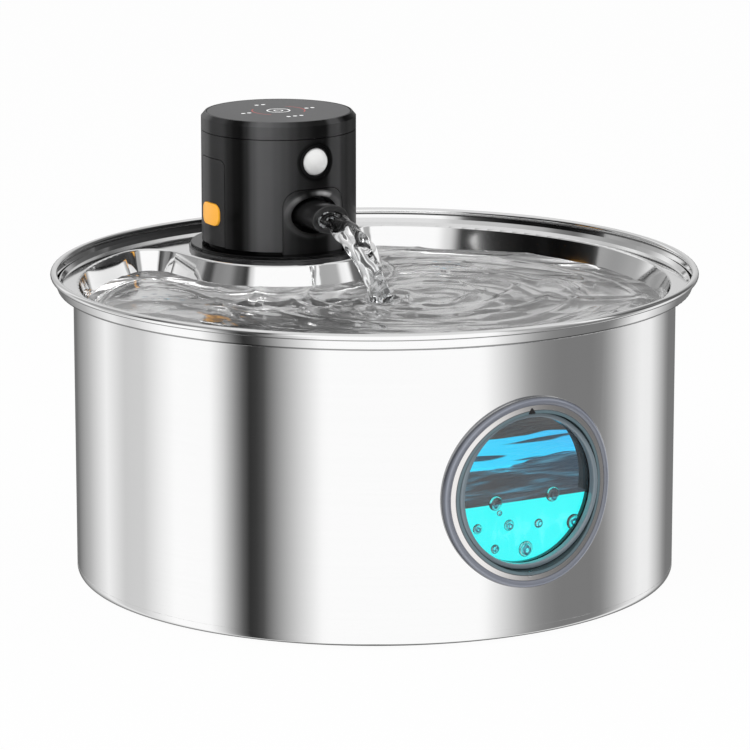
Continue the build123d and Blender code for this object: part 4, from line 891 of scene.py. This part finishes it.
def stream_tube():
    """Points of the stream: at a time s from the mouth its middle is at y = mouth - speed s
    and z = spout - g s^2 / 2, and the section round it is an ellipse with turning lobes."""
    rows, columns = 150, 73
    fall, speed, half_gravity = 0.0788, 518, 4905
    s = np.linspace(-0.0150, fall, rows)[:, None]
    falling = np.maximum(s, 0)
    share = falling / fall
    middle = np.concatenate([
        foot[0] * share ** 1.5, mouth_y - speed * s, spout_z - half_gravity * falling ** 2
    ], axis=1)
    ahead = np.gradient(middle, axis=0)
    ahead /= np.linalg.norm(ahead, axis=1, keepdims=True)
    side = np.cross(ahead, [0, 0, 1.0])
    side /= np.linalg.norm(side, axis=1, keepdims=True)
    above = np.cross(side, ahead)
    turn = np.linspace(0, 2 * pi, columns)[None, :]
    wide = 6.1 - 1.2 * smooth_step(0, 0.5, share) + 0.5 * smooth_step(0.75, 1, share)
    thick = 3.5 + 1.0 * smooth_step(0, 0.6, share) + 0.5 * smooth_step(0.75, 1, share)
    free = smooth_step(-0.002, 0.012, s)
    lobes = 0.13 * np.sin(2 * turn + 7 * share) + 0.09 * np.sin(3 * turn - 11 * share + 1)
    lobes = lobes + 0.05 * np.sin(5 * turn + 19 * share) + 0.07 * np.sin(26 * share + 2 * np.sin(turn + 0.5))
    size = 1 + free * lobes
    end = np.linspace(0, 1, rows)[:, None]
    size = size * np.sqrt(np.clip(end / 0.03, 0, 1)) * np.sqrt(np.clip((1 - end) / 0.015, 0, 1))
    a = (wide * size * np.cos(turn))[..., None] * side[:, None, :]
    b = (thick * size * np.sin(turn))[..., None] * above[:, None, :]
    return middle[:, None, :] + a + b


new_piece("water_stream", [stream_tube()], "pump_module", "clear_water", clear_water)

# %% [markdown]
# Where the stream lands it throws up beads of water. Each is a slightly flattened ball that
# is half sunk in the surface, on two loose rings round the foot.

# %% Beads of water
def bead(centre, radius, flat=0.8, rows=10, columns=17):
    """A ball of given radius, flattened upwards: latitude by longitude."""
    up = np.linspace(-pi / 2, pi / 2, rows)[:, None]
    turn = np.linspace(0, 2 * pi, columns)[None, :]
    x = centre[0] + radius * np.cos(up) * np.cos(turn)
    y = centre[1] + radius * np.cos(up) * np.sin(turn)
    z = centre[2] + flat * radius * np.sin(up) + 0 * turn
    return np.stack([x, y, z], axis=-1)


pick = np.random.default_rng(7)
bead_count = 14
bead_turn = np.linspace(0.3, 6.1, bead_count) + pick.uniform(-0.2, 0.2, bead_count)
bead_away = np.where(np.arange(bead_count) % 2, 10.5, 7.6) + pick.uniform(-0.8, 0.8, bead_count)
bead_size = pick.uniform(0.45, 1.15, bead_count)
bead_x = foot[0] + bead_away * np.cos(bead_turn)
bead_y = foot[1] + bead_away * np.sin(bead_turn)
bead_z = water_level + swell(bead_x, bead_y) + 0.25 * bead_size
beads = [bead(c, r) for *c, r in zip(bead_x, bead_y, bead_z, bead_size)]
new_piece("splash_beads", beads, "drinking_tray", "clear_water", clear_water)

# %% [markdown]
# At the nozzle's mouth the water is torn into froth. Small balls crowd along the rim, at the
# side that the stream doesn't cover, and they are milky: only a fifth of the light passes.

# %% Froth at the nozzle's mouth
froth_white, tree, colour, where, small = see_through("froth_white", 700.0, 2.0, 0.2, 0.0002, 0.2)
link(tree, ramp_node(tree, small, [(0.35, (0.45, 0.47, 0.48)), (0.6, (0.95, 0.96, 0.97))]), colour)
froth_count = 22
froth_turn = pick.uniform(0.5 * pi, 1.65 * pi, froth_count)
froth_out = pick.uniform(0.72, 1.0, froth_count)
froth_size = pick.uniform(0.4, 1.1, froth_count)
froth_x = 6.0 * froth_out * np.cos(froth_turn)
froth_z = spout_z + 3.5 * froth_out * np.sin(froth_turn)
froth_y = pick.uniform(38.0, 40.5, froth_count)
froth = [bead(c, r, 0.9, 8, 13) for *c, r in zip(froth_x, froth_y, froth_z, froth_size)]
new_piece("mouth_froth", froth, "pump_module", "clear_water", froth_white)

# %% [markdown]
# The window shows the reservoir's water, lit blue from inside. Through it one looks at the
# water's front and, at a low angle, along its top. The glow is painted on the water in
# place: cyan on the front, then a dark zone with blue streaks, a bright blue band further
# back where the lamps' light comes up, and dark water behind.

# %% Lit water
front_y = -121.4  # the water's flat front, just behind the pane


def stretched_noise(tree, where, scale, detail):
    """Noise on Object coordinates scaled by a triple, for streaks along x."""
    node = tree.nodes.new("ShaderNodeMapping")
    node.inputs["Scale"].default_value = scale
    link(tree, where, node.inputs["Vector"])
    return noise_node(tree, node.outputs[0], 1.0, detail)


lit_water, tree, shader = new_material("lit_water")
where = place_of(tree)
x, y, z = axes_of(tree, where)
wobble = stretched_noise(tree, where, (26.0, 60.0, 1.0), 2.0)
behind = math_node(tree, "SUBTRACT", y, front_y * mm)  # depth behind the front
behind = math_node(tree, "MULTIPLY_ADD", wobble, 0.030, behind)
near_edge = math_node(tree, "MULTIPLY_ADD", x, -0.14, behind)
far_edge = math_node(tree, "MULTIPLY_ADD", x, 0.24, behind)
streaks = stretched_noise(tree, where, (34.0, 130.0, 1.0), 4.0)
broad_streaks = stretched_noise(tree, where, (18.0, 75.0, 1.0), 1.0)
dark_zone = mix_colours(tree, rise(tree, x, -0.01, 0.09), (0.060, 0.058, 0.060), (0.020, 0.062, 0.105))
dark_zone = mix_colours(tree, rise(tree, streaks, 0.50, 0.72), dark_zone, (0.08, 0.24, 0.34))
band = mix_colours(tree, rise(tree, x, 0.03, 0.12), (0.030, 0.66, 1.0), (0.055, 0.42, 0.90))
band = mix_colours(tree, rise(tree, broad_streaks, 0.63, 0.68), band, (0.03, 0.06, 0.09))
glow = mix_colours(tree, rise(tree, near_edge, 0.0660, 0.0675), dark_zone, band)
glow = mix_colours(tree, rise(tree, far_edge, 0.1280, 0.1295), glow, (0.050, 0.046, 0.044))
front = rise(tree, y, -0.12135, -0.12125)
glow = mix_colours(tree, front, (0.033, 1.0, 1.0), glow)
deep = mix_colours(tree, rise(tree, z, 0.0, 0.056), (0.01, 0.45, 0.75), (0.03, 0.85, 1.0))
top = math_node(tree, "MAXIMUM", rise(tree, z, 0.0555, 0.0563), math_node(tree, "SUBTRACT", 1.0, front))
link(tree, mix_colours(tree, top, deep, glow), shader.inputs["Emission Color"])
dull = mix_colours(tree, front, (0.0, 0.02, 0.02), (0.01, 0.02, 0.03))
link(tree, dull, shader.inputs["Base Color"])
link(tree, math_node(tree, "MULTIPLY_ADD", streaks, 0.1, 0.02), shader.inputs["Roughness"])
bump(tree, shader, streaks, 0.002)
settings(shader, Emission_Strength=1.0, Specular_IOR_Level=0.25)
print("lit water:", len(tree.nodes), "nodes")

# %% [markdown]
# The reservoir's water is a disc that fits the bowl, cut flat at its front so that it
# clears the window's parts. Two crossed ripples move its top.

# %% Water in the bowl
def bowl_water():
    """The closed body of water: columns go across in x = size sin u, and a loop of rows goes
    over the top and back under the bottom. A point's y runs from -size cos u, but not
    before the flat front, to size cos u."""
    level, radius = 57.3, 128.8
    bends = ((radius, 7.0), (127.8, 3.4), (126.0, 2.3))  # radius and height of the lower edge
    u = np.linspace(-pi / 2, pi / 2, 161)[None, :]
    v = np.linspace(0, 1, 111)[:, None]

    def plane(size, back_to_front):
        x = size * np.sin(u) + 0 * back_to_front
        deep = size * np.cos(u)
        return x, (1 - back_to_front) * np.maximum(-deep, front_y) + back_to_front * deep

    def flat_rows(size, z, back_to_front):
        x, y = plane(size, back_to_front)
        return np.stack([x, y, 0 * x + z], axis=-1)

    x, y = plane(radius, v)
    calm = smooth_step(0, 0.03, v) * smooth_step(0, 0.03, 1 - v) * smooth_step(0, 0.2, np.cos(u))
    ripple = 0.5 * np.sin(x / 9 + np.sin(y / 13)) + 0.4 * np.sin(y / 7 + 1.3 * np.sin(x / 17))
    loops = [np.stack([x, y, level + calm * ripple], axis=-1)]
    loops += [flat_rows(size, z, np.array([[1.0]])) for size, z in bends]
    loops.append(flat_rows(*bends[-1], np.linspace(1, 0, 14)[1:, None]))
    loops += [flat_rows(size, z, np.array([[0.0]])) for size, z in bends[-2::-1]]
    return np.concatenate(loops)


new_piece("water_in_bowl", [bowl_water()], "reservoir", "lit_water", lit_water, wrap=True)

# %% [markdown]
# Condensed drops cling to the inside of the pane. A drop is a low cap of clear water that
# bends light as a lens; on its colour a painted highlight, a patch of painted shade and a
# dark rim of painted shade stand for what the lens shows. The mesh carries an attribute for
# this: how far each point is from its drop's middle, and a patch value.

# %% Drops on the pane
def pane_drop(x, z, radius, rows=9, columns=25):
    """A flattened ball that touches the pane's inner face, its short way along y."""
    ball = bead((x, z, 0), radius, 0.9 / radius, rows, columns)
    return np.stack([ball[..., 0], -122.55 - ball[..., 2], ball[..., 1]], axis=-1)


drop_water, tree, colour, where, small = see_through("drop_water", 300.0, 1.0, 0.04, 0.0003, index=1.55)
in_drop = tree.nodes.new("ShaderNodeAttribute")
in_drop.attribute_name = "in_drop"
from_middle, painted_patch = axes_of(tree, in_drop.outputs["Vector"])[1:]
# Painted highlight and painted shade across each drop's patch value.
inside = ramp_node(tree, math_node(tree, "MULTIPLY_ADD", small, 0.9, painted_patch), [
    (0.30, (0.90, 0.97, 0.98)), (0.58, (0.84, 0.95, 0.97)), (0.61, (0.05, 0.10, 0.14)),
    (0.76, (0.04, 0.10, 0.16)), (0.79, (0.80, 0.97, 1.0)), (1.0, (0.75, 0.93, 0.98)),
], "LINEAR")
# Painted shade: a dark rim round each drop.
painted_rim_shade = ramp_node(tree, from_middle, [
    (0.62, 1.0), (0.72, 0.35), (0.80, 1.0), (0.90, 0.9), (0.96, 0.12), (1.0, 0.2)
], "LINEAR")
link(tree, mix_colours(tree, 1.0, inside, painted_rim_shade, "MULTIPLY"), colour)
drop_places = [
    (-13.4, 58.2, 3.2), (14.2, 58.7, 3.3), (24.6, 45.4, 3.4), (1.3, 36.9, 3.4), (-22.0, 48.3, 2.2),
    (-6.8, 48.0, 2.4), (7.5, 47.0, 2.0), (-13.5, 38.7, 2.0), (-11.4, 53.7, 1.2),
]
drops = [pane_drop(*place) for place in drop_places]
pane_drops = new_piece("pane_drops", drops, "reservoir", "clear_water", drop_water)
points = np.array([v.co for v in pane_drops.data.vertices]) / mm
places = np.array(drop_places)
offset = points[:, None, [0, 2]] - places[None, :, :2]
share = np.hypot(*np.moveaxis(offset, -1, 0)) / places[:, 2]
nearest = share.argmin(axis=1)
row = np.arange(len(points))
aside = offset[row, nearest] / places[nearest, 2:3]
painted_patch = 0.55 - 0.75 * np.hypot(aside[:, 0] - 0.15, aside[:, 1] + 0.10)
values = np.stack([0 * row, share[row, nearest], painted_patch], axis=1)
attribute = pane_drops.data.attributes.new("in_drop", "FLOAT_VECTOR", "POINT")
attribute.data.foreach_set("vector", values.ravel())

# %% [markdown]
# Two small moulded details sit on the window frame: a dark pointer at the top, which shows
# which way up it is fitted, and a clear snap with two ribs at the bottom.

# %% Pointer and snap on the frame
frame_face = -132.0


def pointer(x, z, reach, high):
    """A flat three-sided plate on the frame's face: at an angle t from its tip the edge is
    at the distance reach / (2 cos(60 degrees - t)), as for any regular triangle, with the
    corners cut off."""
    t = np.linspace(0, 2 * pi, 61)[None, :]
    edge = 0.5 * reach / np.cos(np.abs((t % (2 * pi / 3)) - pi / 3))
    edge = np.minimum(edge, 0.86 * reach)
    size = np.array([0, 0.96, 1, 1, 0.92, 0])[:, None]
    y = frame_face - high * np.array([0, 0, 0, 0.8, 1, 1])[:, None] + 0 * t
    return np.stack([x + 1.15 * size * edge * np.sin(t), y, z + size * edge * np.cos(t)], axis=-1)


def snap_rib(x, z, wide, tall):
    """A rounded rib that lies on the frame's face."""
    right, up, ahead = np.moveaxis(bead((0, 0, 0), 1.0, 1.0, 14, 21), -1, 0)
    return np.stack([x + wide * right, frame_face - 0.9 * ahead, z + tall * up], axis=-1)


mark_black = moulded("mark_black", (0.012, 0.012, 0.013), roughness=0.35, spread=0.05, depth=0.000004)
mark = pointer(-1.6, 97.2, 1.75, 0.6)
new_piece("frame_pointer", [mark], "reservoir", "nut_plastic", mark_black, crease=40)
ribs = [snap_rib(x, 28.6, 0.9, 1.3) for x in (-2.4, -0.9)]
new_piece("frame_snap", ribs, "reservoir", "pane_clear", clear_water)

# %% [markdown]
# The window's rubber ring is a soft lip that follows the bowl's curved wall. Its section,
# drawn as distance from the window's axis and height over the wall, is carried round the
# axis, and every point is then dropped onto a cylinder about the bowl's axis.

# %% Rounded window gasket
def gasket_ring():
    """Section (r, h) turned by an angle a: x = r cos a, z = window_z + r sin a, and
    y = -sqrt((130 + h)^2 - x^2), which lays height h over the bowl's wall of radius 130."""
    a = np.linspace(0, 2 * pi, 193)[None, :]
    crown = np.radians(np.linspace(-25, 143, 15))
    r = np.concatenate([[34.9, 40.0], 38.6 + 1.6 * np.cos(crown), [36.95, 36.9, 38.7, 38.7, 34.9]])
    h = np.concatenate([[0.05, 0.05], 1.3 + 1.6 * np.sin(crown), [2.3, 2.22, 2.22, 0.98, 0.98]])
    r, h = r[:, None], h[:, None]
    x, z = r * np.cos(a), window_z + r * np.sin(a)
    return np.stack([x, -np.sqrt((130 + h) ** 2 - x * x), z], axis=-1)


ring_style = {"wrap": True, "crease": 40}
window_lip = new_piece(
    "window_lip", [gasket_ring()], "reservoir", "gasket_rubber", gasket_rubber, **ring_style
)
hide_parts("window_gasket")

# %% [markdown]
# A flat ring screws down on the pane. Its rounded face stands a little higher than the
# solid's, so that it catches the light all round. Along the bowl's foot runs the bend from
# wall to base, a quarter circle. Both are lathe work: a closed section turned round an axis.

# %% Turned rings
def turned(section, count, centre=None):
    """A closed section of (radius, height) turned round the z axis, or round the y axis
    through a centre (y, z), where a height moves the point towards -y."""
    a = np.linspace(0, 2 * pi, count)[None, :]
    r, h = section[:, :1], section[:, 1:]
    if centre is None:
        return np.stack([r * np.cos(a), r * np.sin(a), h + 0 * a], axis=-1)
    return np.stack([r * np.cos(a), centre[0] - h + 0 * a, centre[1] + r * np.sin(a)], axis=-1)


def rounded_section(inner, outer, high, corner, steps=6):
    """A rectangle in (radius, height) whose two upper corners are rounded."""
    turn = np.linspace(0, pi / 2, steps)[:, None]
    right = np.hstack([outer - corner + corner * np.cos(turn), high - corner + corner * np.sin(turn)])
    left = np.hstack([inner + corner - corner * np.sin(turn), high - corner + corner * np.cos(turn)])
    return np.vstack([[[inner, 0.0]], [[outer, 0.0]], right, left])


ring_grid = turned(rounded_section(30.9, 33.15, 3.0, 0.7), 193, (-125.6, window_z))
pane_ring = new_piece("pane_ring", [ring_grid], "reservoir", "ring_plastic", ring_plastic, **ring_style)
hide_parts("window_retaining_ring")

bend_radius, bend_z = 126.6, 4.6
bend = np.radians(np.linspace(-90, 0, 13))[:, None]
outside, inside = (
    np.hstack([bend_radius + size * np.cos(bend), bend_z + size * np.sin(bend)]) for size in (3.43, 3.0)
)
foot_section = np.vstack([
    [[118.0, 1.17]], outside, [[130.02, 5.6]], [[129.7, 5.6]], inside[::-1], [[118.0, 1.6]]
])
foot_grid = turned(foot_section, 361)
new_piece("bowl_foot", [foot_grid], "reservoir", "bowl_steel", bowl_steel, wrap=True, crease=30)

# %% [markdown]
# Behind each amber button sits a small coil spring. The wire is a thin tube along a helix.
# It is the one piece that gets shorter when a button is pressed.

# %% Latch springs
def coil_spring(side):
    """Tube of radius 0.3 along a helix of radius 4 about the x axis through the button."""
    turns = np.linspace(0, 2 * pi * 3.5, 181)[:, None]
    round_wire = np.linspace(0, 2 * pi, 13)[None, :]
    pitch = 3.6 / (2 * pi * 3.5)
    out = 4.0 + 0.3 * np.cos(round_wire)
    x = side * (27.1 + pitch * turns + 0.3 * np.sin(round_wire))
    wire = np.stack([x, unit_y + out * np.cos(turns), button_z + out * np.sin(turns)], axis=-1)
    ends = [np.repeat(wire[k].mean(axis=0)[None, None, :], 13, axis=1) for k in (0, -1)]
    return np.concatenate([ends[0], wire, ends[1]])


spring_steel = metal("spring_steel", (0.62, 0.62, 0.63), roughness=0.22)
for hand, side in (("left", -1), ("right", 1)):
    coil = [coil_spring(side)]
    spring = new_piece(f"latch_coil_{hand}", coil, "control_head", "spring_steel", spring_steel)
    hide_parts(f"latch_spring_{hand}")
    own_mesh(spring)

# %% [markdown]
# The pane is clear plastic. A faint ripple in its roughness is all that tells it from air.
# The sensor's lens is a milky dome, and a faint glow stands for the light that goes a
# little way into it. Its section is a quarter of an ellipse on a short rim.

# %% Clear and milky pieces
pane_clear, tree, colour, where, haze = see_through("pane_clear", 40.0, 3.0, 0.02, 0.00001, index=1.45)
link(tree, ramp_node(tree, haze, [(0.2, (0.95, 0.98, 0.98)), (0.8, (1.0, 1.0, 1.0))]), colour)
dress(pane_clear, "window_pane", "status_lamps")

lens_white = moulded("lens_white", (0.80, 0.80, 0.79), roughness=0.32, coat=0.4, spread=0.05)
lens_shader = lens_white.node_tree.nodes["Principled BSDF"]
settings(lens_shader, Emission_Color=white, Emission_Strength=0.16)
dress(lens_white, "pir_lens")

lens_radius, lens_rise, lens_rim = 6.1, 5.2, 0.3
quarter = np.radians(np.linspace(0, 90, 16))[:, None]
dome = np.hstack([lens_radius * np.cos(quarter), lens_rise * np.sin(quarter)])
lens_section = np.vstack([[[0.0, -lens_rim], [lens_radius, -lens_rim]], dome])
lens_grid = turned(lens_section, 73, (53.7, lens_z))
lens_dome = new_piece("lens_dome", [lens_grid], "control_head", "lens_white", lens_white, crease=40)
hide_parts("pir_lens")

# %% [markdown]
# The touch panel's marks are printed under its clear face: two rings in the middle, four
# groups of dots round them and two faint red arcs. The print is a mask made from the
# distance to the panel's centre and to each dot. The marks are lit, so they glow as well.

# %% Touch panel with generic marks
def away_from(tree, x, y, from_x, from_y):
    """Distance in plan from a point."""
    return span(tree, math_node(tree, "SUBTRACT", x, from_x), math_node(tree, "SUBTRACT", y, from_y))


def ring_mask(tree, away, radius, half_width):
    """1 on a ring of given radius, 0 off it, from a distance."""
    off = math_node(tree, "ABSOLUTE", math_node(tree, "SUBTRACT", away, radius))
    return math_node(tree, "LESS_THAN", off, half_width)


touch_black = moulded(
    "touch_black", (0.03, 0.03, 0.032), roughness=0.3, spread=0.04, depth=0.000002, coat=0.12, gloss=0.12
)
tree = touch_black.node_tree
x, y, z = axes_of(tree, place_of(tree))
centre = away_from(tree, x, y, 0.0, unit_y * mm)
marks = math_node(
    tree, "MAXIMUM", ring_mask(tree, centre, 0.0050, 0.00035), ring_mask(tree, centre, 0.0019, 0.0003)
)
dot_groups = {  # y of a group: x of its dots
    0.0868: (-0.0175, -0.0145), 0.0858: (0.0140, 0.0170), 0.0695: (-0.0040, -0.0008, 0.0024),
    0.1040: (-0.0015, 0.0018),
}
for dot_y, row in dot_groups.items():
    for dot_x in row:
        dot = math_node(tree, "LESS_THAN", away_from(tree, x, y, dot_x, dot_y), 0.0010)
        marks = math_node(tree, "MAXIMUM", marks, dot)
beside = math_node(tree, "ABSOLUTE", math_node(tree, "SUBTRACT", y, unit_y * mm))
sides = math_node(tree, "LESS_THAN", beside, 0.0085)
arcs = math_node(tree, "MULTIPLY", ring_mask(tree, centre, 0.0118, 0.0003), sides)
paint_on(touch_black, arcs, (0.32, 0.02, 0.015))
paint_on(touch_black, marks, (0.62, 0.62, 0.62))
touch_shader = tree.nodes["Principled BSDF"]
lit_marks = mix_colours(tree, arcs, (0.0, 0.0, 0.0), (0.16, 0.01, 0.008))
lit_marks = mix_colours(tree, marks, lit_marks, (0.6, 0.6, 0.6))
link(tree, lit_marks, touch_shader.inputs["Emission Color"])
settings(touch_shader, Emission_Strength=1.0)
dress(touch_black, "touch_panel")

# %% [markdown]
# The rest sits inside, and shows when the head or the filter is lifted out. Each finish is
# one row of a table: plastics and rubbers first, then metals.

# %% Finishes of the inner pieces
inner_plastics = {
    "pipe_plastic": ((0.55, 0.57, 0.58), 0.35, ["outlet_pipe"]),
    "pump_plastic": ((0.035, 0.036, 0.04), 0.42, ["pump_housing", "volute_cover", "motor_cap"]),
    "impeller_plastic": ((0.50, 0.51, 0.52), 0.38, ["impeller"]),
    "magnet_ferrite": ((0.045, 0.043, 0.042), 0.6, ["rotor_magnet"]),
    "lead_jacket": ((0.02, 0.02, 0.02), 0.5, ["pump_lead"]),
    "filter_plastic": ((0.62, 0.65, 0.67), 0.4, ["filter_basket"]),
    "carbon_case": ((0.70, 0.72, 0.73), 0.5, ["carbon_cartridge"]),
    "chassis_plastic": ((0.03, 0.03, 0.032), 0.5, ["head_chassis"]),
    "board_green": ((0.01, 0.10, 0.045), 0.35, ["control_board", "touch_board", "pir_board"]),
    "battery_wrap": ((0.02, 0.07, 0.22), 0.3, ["battery_pack"]),
}
inner_metals = {
    "shaft_steel": ((0.60, 0.60, 0.61), 0.15, ["pump_shaft"]),
    "core_steel": ((0.30, 0.30, 0.31), 0.35, ["stator_core"]),
    "copper": ((0.72, 0.30, 0.14), 0.25, ["stator_windings"]),
    "contact_brass": ((0.78, 0.58, 0.26), 0.22, ["base_contacts", "contact_pins"]),
    "screw_steel": ((0.55, 0.55, 0.56), 0.25, ["board_screws", "chassis_screws", "volute_screws"]),
    "sensor_can": ((0.62, 0.60, 0.52), 0.28, ["pir_sensor"]),
    "port_steel": ((0.55, 0.55, 0.56), 0.25, ["charge_port"]),
}
for name, (colour, roughness, dressed) in inner_plastics.items():
    dress(moulded(name, colour, roughness, coat=0.2), *dressed)
for name, (colour, roughness, dressed) in inner_metals.items():
    dress(metal(name, colour, roughness), *dressed)
foam = moulded("foam", (0.62, 0.64, 0.60), roughness=0.95, scale=260.0, depth=0.0009)
dress(foam, "filter_foam")
